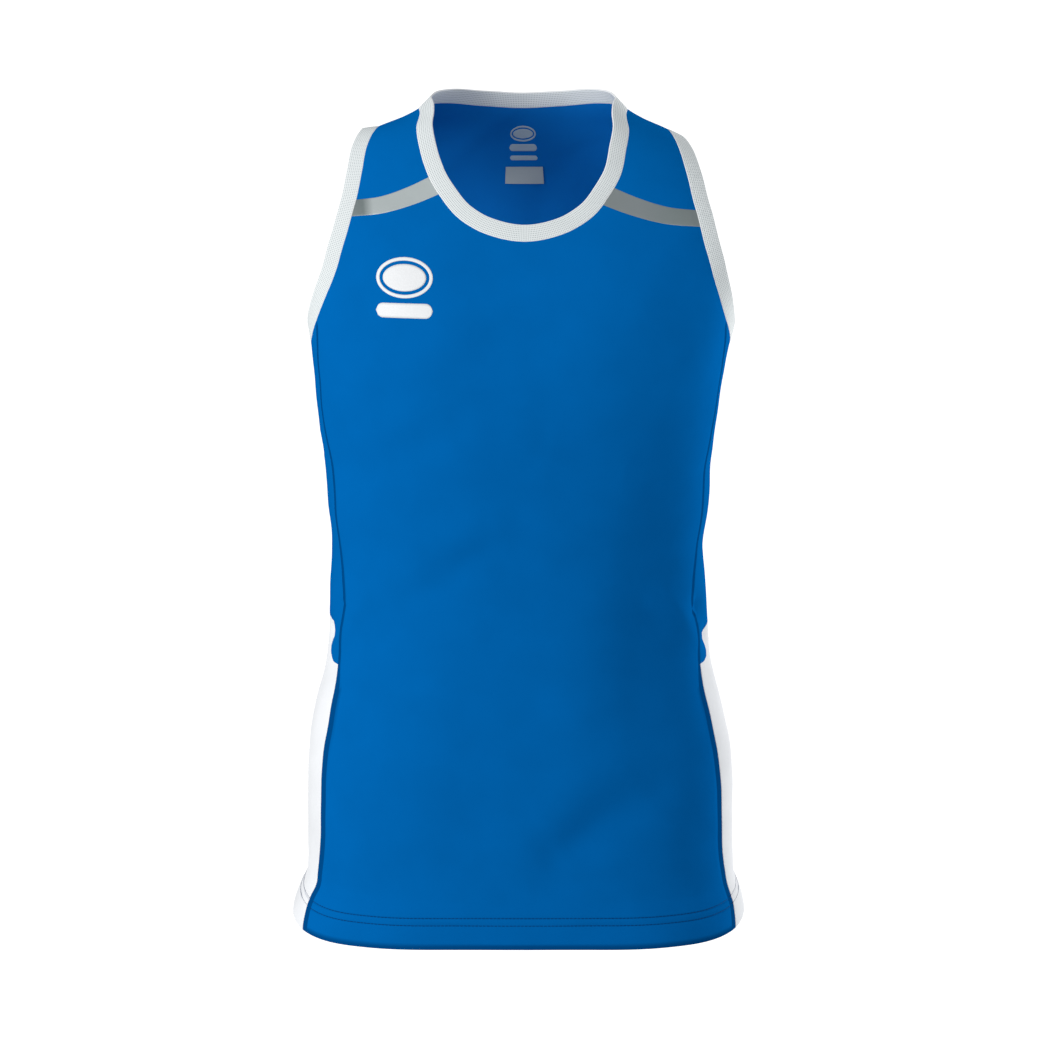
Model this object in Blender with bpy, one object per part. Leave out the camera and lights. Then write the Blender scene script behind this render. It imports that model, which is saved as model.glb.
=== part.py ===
"""Running singlet (a sleeveless training top), filled out as if worn, with no wearer in it.

Metres, +Z up. The front faces -Y and the wearer's left is +X. The origin is midway between the two
shoulder straps, level with their highest inner ends, where the wearer's shoulders would hold it.

Every piece of cloth is cut from one form: a stack of horizontal rings, one row of RINGS each. A point
on the form is named by its turn (0 at the front, 90 at the wearer's left, 180 at the back, in degrees)
and its height. Each panel is a sheet laid on the form between its own seam lines.

Run with: blender --background --python part.py
"""

import bmesh
import bpy
import numpy as np

# ---------------------------------------------------------------- driving sizes

CLOTH = 0.0012           # one layer of the knit
HEM_CLOTH = 0.0024       # the turned-up hem, two layers
HEM_DEPTH = 0.0225       # from the lower edge up to the end of the turned-up layer
HEM_STEP = 0.0012        # height over which the second layer ends
SEAM_GAP = 0.0003        # between two pieces that are sewn together
BINDING_WIDTH = 0.0138   # ribbed tape round the neck and the armholes
BINDING_THICKNESS = 0.0022
BINDING_ROUND = 0.0011   # the tape is rounded off this far from its edges
NECK_LEAN_FRONT = 0.10   # how far the tapes lean off the cloth's slope, as a share of their width
NECK_LEAN_BACK = 0.40
ARMHOLE_LEAN = 0.45
ARMHOLE_LIFT = {"left": 0.0, "right": 0.35}  # the right shoulder's tape stands up at its top
LABEL_WIDTH = 0.033
LABEL_HEIGHT = 0.0150
LABEL_THICKNESS = 0.0010
LABEL_Z = -0.0525        # middle of the label, inside the back of the neck
LABEL_STANDOFF = 0.0008  # between the label and the cloth behind it


def table(columns, *rows):
    """A short table: one array of numbers for each named column."""
    return dict(zip(columns.split(), np.array(rows, float).T))


# Rings of the form. half: half of the width. front and back: depth on each side of the middle plane.
# square: 2 is an ellipse, more is nearer to a box. sway: how far the ring stands to the wearer's left.
RINGS = table(
    "height half front back square sway",
    (-0.694, 0.1985, 0.1190, 0.1180, 2.90, -0.0022),
    (-0.684, 0.1974, 0.1187, 0.1178, 2.88, -0.0018),
    (-0.676, 0.1955, 0.1180, 0.1170, 2.84, -0.0014),
    (-0.668, 0.1930, 0.1168, 0.1160, 2.80, -0.0010),
    (-0.660, 0.1894, 0.1155, 0.1147, 2.76, -0.0006),
    (-0.652, 0.1862, 0.1142, 0.1138, 2.70, 0.0002),
    (-0.638, 0.1850, 0.1132, 0.1134, 2.66, 0.0000),
    (-0.608, 0.1846, 0.1130, 0.1135, 2.62, -0.0002),
    (-0.570, 0.1842, 0.1135, 0.1130, 2.58, -0.0002),
    (-0.535, 0.1820, 0.1130, 0.1090, 2.52, -0.0008),
    (-0.500, 0.1752, 0.1110, 0.1020, 2.46, -0.0015),
    (-0.465, 0.1662, 0.1075, 0.0945, 2.42, -0.0018),
    (-0.430, 0.1630, 0.1045, 0.0900, 2.40, -0.0015),
    (-0.395, 0.1615, 0.1030, 0.0890, 2.38, -0.0022),
    (-0.360, 0.1596, 0.1040, 0.0900, 2.38, -0.0022),
    (-0.325, 0.1632, 0.1070, 0.0940, 2.40, -0.0018),
    (-0.290, 0.1660, 0.1110, 0.0990, 2.40, -0.0020),
    (-0.255, 0.1708, 0.1155, 0.1040, 2.40, -0.0020),
    (-0.220, 0.1742, 0.1180, 0.1080, 2.40, -0.0010),
    (-0.190, 0.1778, 0.1180, 0.1100, 2.40, 0.0003),
    (-0.160, 0.1815, 0.1140, 0.1110, 2.35, 0.0012),
    (-0.130, 0.1840, 0.1070, 0.1100, 2.30, 0.0028),
    (-0.100, 0.1840, 0.0965, 0.1070, 2.30, 0.0036),
    (-0.070, 0.1765, 0.0840, 0.1010, 2.30, 0.0036),
    (-0.045, 0.1635, 0.0725, 0.0935, 2.30, 0.0032),
    (-0.025, 0.1450, 0.0620, 0.0850, 2.28, 0.0022),
    (-0.010, 0.1215, 0.0535, 0.0770, 2.25, 0.0022),
    (0.000, 0.0990, 0.0480, 0.0710, 2.22, 0.0022),
    (0.0075, 0.0868, 0.0445, 0.0665, 2.20, 0.0022),
    (0.0140, 0.0790, 0.0420, 0.0625, 2.20, 0.0022),
)

# Soft folds of the filled cloth, each from one turn and height to another. reach: half of its width.
# rise: how far it stands out, below zero for a hollow.
FOLD_RADIUS = 0.145      # turns count as lengths at this radius
FOLDS = (
    # turn, height at one end; turn, height at the other; reach, rise
    (25, -0.215, 30, -0.150, 0.038, 0.0030),
    (-27, -0.215, -32, -0.150, 0.038, 0.0030),
    (45, -0.285, 12, -0.262, 0.020, -0.0026),
    (-24, -0.250, -66, -0.295, 0.016, -0.0024),
    (62, -0.110, 54, -0.175, 0.018, -0.0030),
    (-62, -0.120, -54, -0.175, 0.018, -0.0022),
    (-16, -0.352, -44, -0.395, 0.014, -0.0018),
    (-10, -0.330, -40, -0.360, 0.018, 0.0018),
    (54, -0.300, 50, -0.560, 0.028, -0.0040),
    (28, -0.420, 22, -0.520, 0.035, 0.0020),
    (4, -0.600, 34, -0.545, 0.016, -0.0026),
    (-2, -0.575, 24, -0.530, 0.018, 0.0022),
    (-34, -0.480, -38, -0.600, 0.036, 0.0026),
    (91, -0.205, 91, -0.285, 0.022, -0.0034),
    (-91, -0.262, -91, -0.288, 0.020, -0.0036),
    (92, -0.355, 92, -0.370, 0.014, -0.0030),
    (180, -0.120, 180, -0.420, 0.030, -0.0040),
    (148, -0.190, 142, -0.100, 0.040, 0.0030),
    (-148, -0.190, -142, -0.100, 0.040, 0.0030),
    (168, -0.425, 122, -0.400, 0.014, -0.0026),
    (-166, -0.415, -120, -0.432, 0.014, -0.0026),
    (150, -0.455, 112, -0.450, 0.012, -0.0020),
    (-150, -0.462, -114, -0.470, 0.012, -0.0020),
    (150, -0.560, 156, -0.640, 0.030, 0.0024),
    (-152, -0.560, -156, -0.640, 0.030, 0.0024),
)

# The wearer's right shoulder stands a little higher than the left: by how much, at what turn and
# height it is most, and how far that reaches.
SHOULDER_LIFT = 0.0030
LIFT_TURN, LIFT_TURN_REACH = -90.0, 35.0
LIFT_HEIGHT, LIFT_HEIGHT_REACH = -0.020, 0.022

# The lower edge, from the middle of the front or the back (0) to the side (90). It rises a little at
# the sides. Its first and last row mirror their neighbours, as in the next table.
HEM_EDGE = table(
    "turn height",
    (-25.0, -0.6906),
    (0.0, -0.6906),
    (25.0, -0.6908),
    (50.0, -0.6920),
    (62.0, -0.6913),
    (70.0, -0.6886),
    (78.0, -0.6845),
    (90.0, -0.6815),
    (102.0, -0.6845),
)

# The neck seam, the same on both sides. Its first and last row mirror their neighbours.
NECK_SEAM = table(
    "turn height",
    (-15.0, -0.0940),
    (0.0, -0.0980),
    (15.0, -0.0940),
    (24.6, -0.0877),
    (35.3, -0.0751),
    (42.1, -0.0624),
    (48.1, -0.0496),
    (53.3, -0.0369),
    (58.4, -0.0241),
    (64.7, -0.0113),
    (75.0, 0.0020),
    (90.0, 0.0078),
    (105.0, 0.0108),
    (122.0, 0.0115),
    (150.0, 0.0088),
    (180.0, 0.0068),
    (210.0, 0.0088),
)

# Each armhole seam is an oval on the form, in turn and height, about the wearer's side. Its back half
# is cut wider than its front half. Of the two shapes, 1 is an oval, more is nearer to a point and
# less is flatter.
ARMHOLE_Z = -0.0980
ARMHOLE_UP = 0.0875
ARMHOLE_DOWN = 0.0940
ARMHOLE_TURN_FRONT = 23.0
ARMHOLE_TURN_BACK = 29.0
ARMHOLE_SHAPE_DOWN = 1.10
ARMHOLE_SHAPE_UP = 0.88

# The seams between the front or the back and the side panels: turn from the middle of the front, or
# of the back, at each height.
SIDE_SEAM = table(
    "height front_turn back_turn",
    (-0.688, 70.4, 70.0),
    (-0.660, 72.3, 71.5),
    (-0.620, 71.2, 70.5),
    (-0.560, 70.7, 70.0),
    (-0.500, 70.4, 69.5),
    (-0.430, 72.2, 70.0),
    (-0.400, 71.2, 70.5),
    (-0.350, 75.0, 72.0),
    (-0.300, 73.8, 73.0),
    (-0.230, 76.3, 74.0),
    (-0.167, 75.8, 74.0),
)
SEAM_TOP = -0.1670         # where the side seams meet the armhole
SEAM_EASE = 0.070          # height over which they bend onto the armhole's own line

# Where the blue side cloth meets the white: its height from the front seam (share 0) to the back seam
# (share 1). It bends over the crease at the waist.
SPLIT = table(
    "share height",
    (0.0, -0.4600),
    (0.22, -0.4490),
    (0.30, -0.4340),
    (0.50, -0.4260),
    (1.0, -0.3850),
)

# The light stripe over each side of the chest: height of its lower edge from the armhole (share 0)
# to the neck (share 1). The stripe on the wearer's left lies a little lower.
STRIPE_LOWER = table(
    "share height",
    (0.0, -0.0800),
    (0.35, -0.0768),
    (0.70, -0.0690),
    (1.0, -0.0607),
)
STRIPE_WIDTH = 0.0135
STRIPE_DROP = {"left": 0.0085, "right": 0.0}

# How many faces each stretch is cut into, and steps in which a crossing with the neck is looked for.
WHITE_ROWS = 9
BLUE_ROWS = 13
ARMHOLE_ROWS = 7
YOKE_ROWS = 9
BACK_ARMHOLE_ROWS = 16
SIDE_COLUMNS = 8
STRAP_COLUMNS = 6
FRONT_NECK_COLUMNS = 16
BACK_NECK_COLUMNS = 18
NECK_STEPS = 200

BLUE = (0.004, 0.118, 0.402, 1.0)
WHITE = (0.86, 0.87, 0.87, 1.0)
SILVER = (0.36, 0.40, 0.40, 1.0)
LABEL_GREY = (0.30, 0.34, 0.35, 1.0)

SIDES = {"left": 1, "right": -1}


# ---------------------------------------------------------------- the form

def smooth(curve, column, at):
    """A column of a table as a smooth curve of the table's first column, read at any values."""
    known = next(iter(curve.values()))
    values = curve[column]
    slopes = np.gradient(values, known)
    at = np.clip(np.asarray(at, float), known[0], known[-1])
    i = np.clip(np.searchsorted(known, at, side="right") - 1, 0, len(known) - 2)
    span = known[i + 1] - known[i]
    t = (at - known[i]) / span
    return (
        values[i] * (1 + 2 * t) * (1 - t) ** 2
        + values[i + 1] * t**2 * (3 - 2 * t)
        + span * slopes[i] * t * (1 - t) ** 2
        - span * slopes[i + 1] * t**2 * (1 - t)
    )


def fold_rise(turn, height):
    """How far the soft folds push the cloth out at a turn and a height."""
    total = np.zeros(np.broadcast(turn, height).shape)
    for turn_a, height_a, turn_b, height_b, reach, rise in FOLDS:
        start = np.array((np.radians(turn_a) * FOLD_RADIUS, height_a))
        run = np.array((np.radians(turn_b) * FOLD_RADIUS, height_b)) - start
        away = (np.asarray(turn) - turn_a + 180) % 360 - 180 + turn_a
        u = np.radians(away) * FOLD_RADIUS - start[0]
        v = height - start[1]
        along = np.clip((u * run[0] + v * run[1]) / (run @ run), 0, 1)
        far = np.hypot(u - along * run[0], v - along * run[1]) / reach
        ends = 0.35 + 0.65 * np.sin(np.pi * np.clip(along, 0.08, 0.92))
        total = total + rise * ends * np.exp(-far**2)
    return total


def form(turn, height):
    """Points of the form at turns (degrees) and heights (metres)."""
    turn, height = np.broadcast_arrays(np.asarray(turn, float), np.asarray(height, float))
    angle = np.radians(turn)
    square, sway = smooth(RINGS, "square", height), smooth(RINGS, "sway", height)
    depth = np.where(np.cos(angle) > 0, smooth(RINGS, "front", height), smooth(RINGS, "back", height))
    across = np.abs(np.sin(angle)) / smooth(RINGS, "half", height)
    deep = np.abs(np.cos(angle)) / depth
    radius = (across**square + deep**square) ** (-1 / square) + fold_rise(turn, height)
    off_lift = (turn - LIFT_TURN + 180) % 360 - 180
    over_lift = height - LIFT_HEIGHT
    lift = np.exp(-((off_lift / LIFT_TURN_REACH) ** 2) - (over_lift / LIFT_HEIGHT_REACH) ** 2)
    level = height + SHOULDER_LIFT * lift
    return np.stack([radius * np.sin(angle) + sway, -radius * np.cos(angle), level], -1)


def form_normal(turn, height):
    """Outward unit normals of the form."""
    step_turn, step_height = 0.4, 0.0006
    along = form(turn + step_turn, height) - form(turn - step_turn, height)
    up = form(turn, height + step_height) - form(turn, height - step_height)
    normal = np.cross(along, up)
    return normal / np.linalg.norm(normal, axis=-1, keepdims=True)


# ---------------------------------------------------------------- seam lines, in turn and height

def line(turns, heights):
    """Turns and heights as one array of points."""
    turns, heights = np.broadcast_arrays(np.asarray(turns, float), np.asarray(heights, float))
    return np.stack([turns, heights], -1)


def shares_of(points):
    """How far along a line each of its points is, from 0 to 1."""
    lengths = np.linalg.norm(np.diff(points * (np.radians(FOLD_RADIUS), 1), axis=0), axis=1)
    return np.concatenate([[0], np.cumsum(lengths)]) / lengths.sum()


def neck_height(turn):
    """Height of the neck seam at a turn."""
    return smooth(NECK_SEAM, "height", np.abs((np.asarray(turn, float) + 180) % 360 - 180))


def armhole_point(swing, side):
    """Turn and height on an armhole seam. swing: 0 at the bottom, 90 at the front, 180 at the top."""
    across, down = np.sin(np.radians(swing)), np.cos(np.radians(swing))
    shape = np.where(down > 0, ARMHOLE_SHAPE_DOWN, ARMHOLE_SHAPE_UP)
    reach = np.where(across > 0, ARMHOLE_TURN_FRONT, ARMHOLE_TURN_BACK)
    turn = 90 - reach * np.sign(across) * np.abs(across) ** shape
    return side * turn, ARMHOLE_Z - np.where(down > 0, ARMHOLE_DOWN, ARMHOLE_UP) * down


def armhole_swing(height, at_front):
    """The swing at which an armhole seam passes a height, on its front or its back half."""
    reach = ARMHOLE_DOWN if height < ARMHOLE_Z else ARMHOLE_UP
    swing = np.degrees(np.arccos((ARMHOLE_Z - height) / reach))
    return swing if at_front else 360 - swing


def armhole_line(first_swing, last_swing, count, side):
    """Points on an armhole seam between two swings."""
    return line(*armhole_point(np.linspace(first_swing, last_swing, count + 1), side))


def side_seam_turn(height, at_front):
    """Turn of a side seam, measured from the middle of the front, on the wearer's left."""
    if at_front:
        return smooth(SIDE_SEAM, "front_turn", height)
    return 180 - smooth(SIDE_SEAM, "back_turn", height)


def side_seam(at_front, side):
    """The points of a side seam from the hem to the armhole, its upper end eased onto the armhole."""
    split = SPLIT["height"][0 if at_front else -1]
    lowest = SIDE_SEAM["height"][0]
    edge = float(hem_height(side_seam_turn(lowest, at_front)))
    hem = (edge, edge + HEM_DEPTH, edge + HEM_DEPTH + HEM_STEP)
    white = np.linspace(hem[-1], split, WHITE_ROWS - 1)[1:]
    blue = np.linspace(split, SEAM_TOP, BLUE_ROWS + 1)[1:]
    heights = np.concatenate([hem, white, blue])
    turns = side_seam_turn(heights, at_front)
    end_turn, _ = armhole_point(armhole_swing(SEAM_TOP, at_front), 1)
    ease = np.clip((heights - SEAM_TOP) / SEAM_EASE + 1, 0, 1) ** 2
    return line(side * (turns + (end_turn - turns[-1]) * ease), heights)


def stripe_line(side_name, rise):
    """Points along the stripe, from the armhole to the neck, at a rise over its lower edge."""
    shares = np.linspace(0, 1, STRAP_COLUMNS + 1)
    heights = smooth(STRIPE_LOWER, "height", shares) - STRIPE_DROP[side_name] + rise
    outer_turn, _ = armhole_point(armhole_swing(heights[0], True), 1)
    turns = np.linspace(0, 66, NECK_STEPS)
    inner_turn = np.interp(heights[-1], neck_height(turns), turns)
    return line(SIDES[side_name] * (outer_turn + (inner_turn - outer_turn) * shares), heights)


def split_line(start, end, shares):
    """The seam between the blue and the white side cloth, from a point on the front seam to one on the
    back seam."""
    return line(start[0] + (end[0] - start[0]) * shares, smooth(SPLIT, "height", shares))


def shoulder_line(side):
    """The shoulder seam on the ridge, from the armhole to the neck."""
    _, low = armhole_point(180, side)
    return line(side * 90.0, np.linspace(low, neck_height(90.0), STRAP_COLUMNS + 1))


def neck_line(first_turn, last_turn, count):
    """Points on the neck seam between two turns."""
    turns = np.linspace(first_turn, last_turn, count + 1)
    return line(turns, neck_height(turns))


def hem_height(turn):
    """Height of the lower edge at a turn."""
    off_middle = np.abs((np.asarray(turn, float) + 90) % 180 - 90)
    return smooth(HEM_EDGE, "height", off_middle)


def hem_line(first_turn, last_turn, shares):
    """Points along the lower edge between two turns."""
    turns = first_turn + (last_turn - first_turn) * shares
    return line(turns, hem_height(turns))


# ---------------------------------------------------------------- sheets on the form

def patch(bottom, top, start, end):
    """A grid of turns and heights that fills four seam lines. bottom and top run from start to end,
    start and end run from bottom to top; each is an array of (turn, height)."""
    s, t = shares_of(top)[None, :, None], shares_of(start)[:, None, None]
    ruled_up = (1 - t) * bottom[None] + t * top[None]
    ruled_across = (1 - s) * start[:, None] + s * end[:, None]
    low = (1 - s) * bottom[0] + s * bottom[-1]
    high = (1 - s) * top[0] + s * top[-1]
    return ruled_up + ruled_across - (1 - t) * low - t * high


def drawn_in(points):
    """A grid of points with its four outer edges drawn in by half a seam gap."""
    moved = points.copy()
    half = SEAM_GAP / 2

    def step(inner, edge):
        way = inner - edge
        return half * way / np.linalg.norm(way, axis=-1, keepdims=True)

    moved[0] += step(points[1], points[0])
    moved[-1] += step(points[-2], points[-1])
    moved[:, 0] += step(points[:, 1], points[:, 0])
    moved[:, -1] += step(points[:, -2], points[:, -1])
    return moved


def cloth_wall(name, outer, inner, colour, roughness):
    """A sheet with its outer and inner points given as grids, made by extruding a grid into a wall."""
    rows, columns = outer.shape[:2]
    work = bmesh.new()
    tag = work.verts.layers.int.new("grid_index")
    bmesh.ops.create_grid(work, x_segments=columns - 1, y_segments=rows - 1, size=1.0)
    for i, vert in enumerate(work.verts):
        vert[tag] = i
        vert.co = outer[i // columns, i % columns]
    made = bmesh.ops.extrude_face_region(work, geom=work.faces[:])
    for vert in made["geom"]:
        if isinstance(vert, bmesh.types.BMVert):
            i = vert[tag]
            vert.co = inner[i // columns, i % columns]
    bmesh.ops.recalc_face_normals(work, faces=work.faces[:])
    finished(name, work, colour, roughness)


def finished(name, work, colour, roughness):
    """The mesh as an object with its own material, in the garment's collection."""
    mesh = bpy.data.meshes.new(name)
    work.to_mesh(mesh)
    work.free()
    mesh.shade_smooth()
    mesh.set_sharp_from_angle(angle=np.radians(40))
    material = bpy.data.materials.new(name)
    material.use_nodes = True
    shader = material.node_tree.nodes["Principled BSDF"]
    shader.inputs["Base Color"].default_value = colour
    shader.inputs["Roughness"].default_value = roughness
    shader.inputs["Metallic"].default_value = 0.0
    mesh.materials.append(material)
    garment.objects.link(bpy.data.objects.new(name, mesh))


def panel(name, grid, colour, roughness=0.62, hem_rows=0):
    """A panel of cloth on a grid of turns and heights, with its wall going inwards. Its lowest
    hem_rows are as thick as the turned-up hem."""
    turn, height = grid[..., 0], grid[..., 1]
    thickness = np.full(grid.shape[:2] + (1,), CLOTH)
    thickness[:hem_rows] = HEM_CLOTH
    outer = drawn_in(form(turn, height))
    cloth_wall(name, outer, outer - form_normal(turn, height) * thickness, colour, roughness)


# ---------------------------------------------------------------- seams that the panels share

def front_armhole(side_name):
    """The armhole seam from the side seam up to the shoulder, in three runs that meet: beside the
    front, beside the stripe and beside the yoke."""
    side = SIDES[side_name]
    lower, upper = (stripe_line(side_name, rise)[0, 1] for rise in (0, STRIPE_WIDTH))
    ends = [armhole_swing(height, True) for height in (SEAM_TOP, lower, upper)] + [180]
    counts = (ARMHOLE_ROWS, 2, YOKE_ROWS)
    return [armhole_line(ends[i], ends[i + 1], counts[i], side) for i in range(3)]


def front_neck(side_name):
    """The neck seam from the stripe's lower edge to the shoulder, in two runs that meet."""
    side = SIDES[side_name]
    lower, upper = (stripe_line(side_name, rise)[-1, 0] for rise in (0, STRIPE_WIDTH))
    return neck_line(lower, upper, 2), neck_line(upper, side * 90.0, YOKE_ROWS)


def middle_neck():
    """The neck seam between the two stripes' lower edges, from the wearer's right to the left."""
    return neck_line(stripe_line("right", 0)[-1, 0], stripe_line("left", 0)[-1, 0], FRONT_NECK_COLUMNS)


def back_armhole(side):
    """The back half of an armhole seam, from the side seam up to the shoulder."""
    return armhole_line(armhole_swing(SEAM_TOP, False), 180, BACK_ARMHOLE_ROWS, side)


def under_arm(side):
    """The armhole seam over the side panel, from the front seam to the back seam."""
    first, last = (armhole_swing(SEAM_TOP, at_front) for at_front in (True, False))
    return armhole_line(first, last - 360, SIDE_COLUMNS, side)


def back_neck():
    """The back half of the neck seam, from the wearer's left to the right."""
    return neck_line(90, 270, BACK_NECK_COLUMNS)


def joined(*runs):
    """Lines that meet end to end, as one line."""
    return np.concatenate([runs[0]] + [run[1:] for run in runs[1:]])


# ---------------------------------------------------------------- panels

def front_panel():
    """The front, from the hem to the stripes and the neck."""
    right, left = (stripe_line(side_name, 0) for side_name in ("right", "left"))
    top = joined(right, middle_neck(), left[::-1])
    start, end = (
        joined(side_seam(True, SIDES[side_name]), front_armhole(side_name)[0])
        for side_name in ("right", "left")
    )
    bottom = hem_line(start[0, 0], end[0, 0], shares_of(top))
    panel("front", patch(bottom, top, start, end), BLUE, hem_rows=2)


def stripe_panel(side_name):
    """The light stripe between the front and the yoke."""
    lower, upper = stripe_line(side_name, 0), stripe_line(side_name, STRIPE_WIDTH)
    grid = patch(lower, upper, front_armhole(side_name)[1], front_neck(side_name)[0])
    panel("stripe_" + side_name, grid[:, :: -SIDES[side_name]], SILVER, roughness=0.38)


def yoke_panel(side_name):
    """The blue cloth between the stripe and the shoulder seam."""
    lower, upper = stripe_line(side_name, STRIPE_WIDTH), shoulder_line(SIDES[side_name])
    grid = patch(lower, upper, front_armhole(side_name)[2], front_neck(side_name)[1])
    panel("front_yoke_" + side_name, grid[:, :: -SIDES[side_name]], BLUE)


def back_panel():
    """The back, one piece from the hem to the shoulder seams."""
    whole_turn = (360, 0)
    top = joined(shoulder_line(1), back_neck(), shoulder_line(-1)[::-1] + whole_turn)
    start = joined(side_seam(False, 1), back_armhole(1))
    end = joined(side_seam(False, -1), back_armhole(-1)) + whole_turn
    bottom = hem_line(start[0, 0], end[0, 0], shares_of(top))
    panel("back", patch(bottom, top, start, end), BLUE, hem_rows=2)


def side_panels(side_name):
    """The white lower and the blue upper cloth of a side panel."""
    side = SIDES[side_name]
    start, end, top = side_seam(True, side), side_seam(False, side), under_arm(side)
    shares = shares_of(top)
    bottom = hem_line(start[0, 0], end[0, 0], shares)
    split = split_line(start[WHITE_ROWS], end[WHITE_ROWS], shares)
    white = patch(bottom, split, start[: WHITE_ROWS + 1], end[: WHITE_ROWS + 1])
    blue = patch(split, top, start[WHITE_ROWS:], end[WHITE_ROWS:])
    panel("side_lower_" + side_name, white[:, ::side], WHITE, hem_rows=2)
    panel("side_upper_" + side_name, blue[:, ::side], BLUE)


# ---------------------------------------------------------------- bindings and label

def binding(name, seam_line, lean):
    """A closed loop of ribbed tape from a seam line on into its opening. lean: for each point of the
    seam, how far and which way the tape leans off the cloth's own slope."""
    turns, heights = seam_line.T
    seam, normal = form(turns, heights), form_normal(turns, heights)
    ahead = np.roll(seam, -1, axis=0) - np.roll(seam, 1, axis=0)
    ahead /= np.linalg.norm(ahead, axis=1, keepdims=True)
    out = np.cross(normal, ahead) + lean
    out -= ahead * np.sum(out * ahead, axis=1, keepdims=True)
    out /= np.linalg.norm(out, axis=1, keepdims=True)
    face = np.cross(ahead, out)
    middle = seam - normal * CLOTH / 2 + out * SEAM_GAP / 2
    half, near, far = BINDING_THICKNESS / 2, BINDING_ROUND, BINDING_WIDTH - BINDING_ROUND
    section = (
        # distance from the seam; height over the middle of the tape
        (0.0, -0.55 * half),
        (0.0, 0.55 * half),
        (near, half),
        (far, half),
        (BINDING_WIDTH, 0.35 * half),
        (BINDING_WIDTH, -0.35 * half),
        (far, -half),
        (near, -half),
    )
    work = bmesh.new()
    loops = [
        [work.verts.new(middle[i] + out[i] * along + face[i] * over) for along, over in section]
        for i in range(len(seam))
    ]
    for i, loop in enumerate(loops):
        after = loops[(i + 1) % len(loops)]
        for j in range(len(section)):
            k = (j + 1) % len(section)
            work.faces.new((loop[j], loop[k], after[k], after[j]))
    bmesh.ops.recalc_face_normals(work, faces=work.faces[:])
    finished(name, work, WHITE, roughness=0.8)


def neck_binding():
    """The tape round the neck. It follows the chest in front and stands up at the sides and back."""
    right, left = front_neck("right"), front_neck("left")
    seam_line = joined(middle_neck(), *left, back_neck(), right[1][::-1], right[0][::-1])[:-1]
    low, high = NECK_SEAM["height"].min(), NECK_SEAM["height"].max()
    rise = (seam_line[:, 1] - low) / (high - low)
    lean = np.outer(NECK_LEAN_FRONT + (NECK_LEAN_BACK - NECK_LEAN_FRONT) * rise, (0, 0, 1))
    binding("neck_binding", seam_line, lean)


def armhole_binding(side_name):
    """The tape round an armhole, standing off the chest and the back to the side."""
    side = SIDES[side_name]
    seam_line = joined(*front_armhole(side_name), back_armhole(side)[::-1], under_arm(side)[::-1])[:-1]
    over = (seam_line[:, 1] - ARMHOLE_Z) / ARMHOLE_DOWN
    lean = np.outer(ARMHOLE_LEAN * (1 - over**2), (side, 0, 0))
    lean += np.outer(ARMHOLE_LIFT[side_name] * np.clip(over, 0, 1) ** 2, (0, 0, 1))
    binding("armhole_binding_" + side_name, seam_line[::-side], lean)


def neck_label():
    """A plain label sewn inside the back, under the neck seam."""
    columns, rows = 5, 3
    depth = -form(180.0, LABEL_Z)[1]
    turns = 180 + np.degrees(np.linspace(-0.5, 0.5, columns) * LABEL_WIDTH / abs(depth))
    heights = np.linspace(-0.5, 0.5, rows) * LABEL_HEIGHT + LABEL_Z
    turn, height = np.meshgrid(turns, heights)
    normal = form_normal(turn, height)
    outer = form(turn, height) - normal * (CLOTH + LABEL_STANDOFF)
    cloth_wall("neck_label", outer, outer - normal * LABEL_THICKNESS, LABEL_GREY, 0.5)


# ---------------------------------------------------------------- the garment

for old in list(bpy.data.objects):
    bpy.data.objects.remove(old)

garment = bpy.data.collections.new("running_singlet")
bpy.context.scene.collection.children.link(garment)

front_panel()
back_panel()
for side_word in SIDES:
    stripe_panel(side_word)
    yoke_panel(side_word)
    side_panels(side_word)
    armhole_binding(side_word)
neck_binding()
neck_label()
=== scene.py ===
# %% [markdown]
# # A running singlet, filled out with no wearer
#
# This lesson dresses a plain CAD singlet in real cloth. The CAD part gives the frame: where each
# panel, tape and stripe lies, in metres, with +Z up, the front facing -Y and the wearer's left at +X.
# Every piece made here lies on the same form, but is thinner and finer, with rolled seams, soft
# creases, stitches and a knitted surface.
#
# We load the frame first.

import math

import bmesh
import bpy
import numpy as np
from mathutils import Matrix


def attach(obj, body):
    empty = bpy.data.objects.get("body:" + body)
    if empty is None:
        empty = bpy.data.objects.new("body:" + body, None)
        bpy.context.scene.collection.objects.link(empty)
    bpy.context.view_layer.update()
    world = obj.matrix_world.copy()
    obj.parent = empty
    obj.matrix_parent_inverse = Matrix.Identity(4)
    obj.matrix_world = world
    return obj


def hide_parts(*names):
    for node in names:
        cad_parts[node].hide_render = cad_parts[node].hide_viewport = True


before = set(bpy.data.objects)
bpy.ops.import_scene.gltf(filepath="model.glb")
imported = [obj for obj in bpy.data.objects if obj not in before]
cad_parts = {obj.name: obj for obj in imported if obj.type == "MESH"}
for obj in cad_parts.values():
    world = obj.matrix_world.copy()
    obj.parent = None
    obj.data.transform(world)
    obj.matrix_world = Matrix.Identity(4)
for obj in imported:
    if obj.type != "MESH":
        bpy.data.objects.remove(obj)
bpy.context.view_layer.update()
bpy.ops.object.select_all(action="DESELECT")
print("CAD nodes:", sorted(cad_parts))

# %% [markdown]
# ## The form of the filled singlet
#
# On the real thing the form comes from the cut and from the body inside it. A garment like this is
# easiest to describe as a stack of horizontal rings, each a rounded oval, squarer toward the hem. A
# point on it is named by its turn (0 at the middle of the front, 90 at the wearer's left, 180 at the
# back) and its height. All the seams can then be drawn as lines of turn and height, which is how a
# cutter thinks of them too.
#
# A cloth simulation could find the form, but the photo already shows it, and rings keep it exact.

# %% Rings of the form


def table(columns, *rows):
    """A short table: one array of numbers for each named column."""
    return dict(zip(columns.split(), np.array(rows, float).T))


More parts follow.
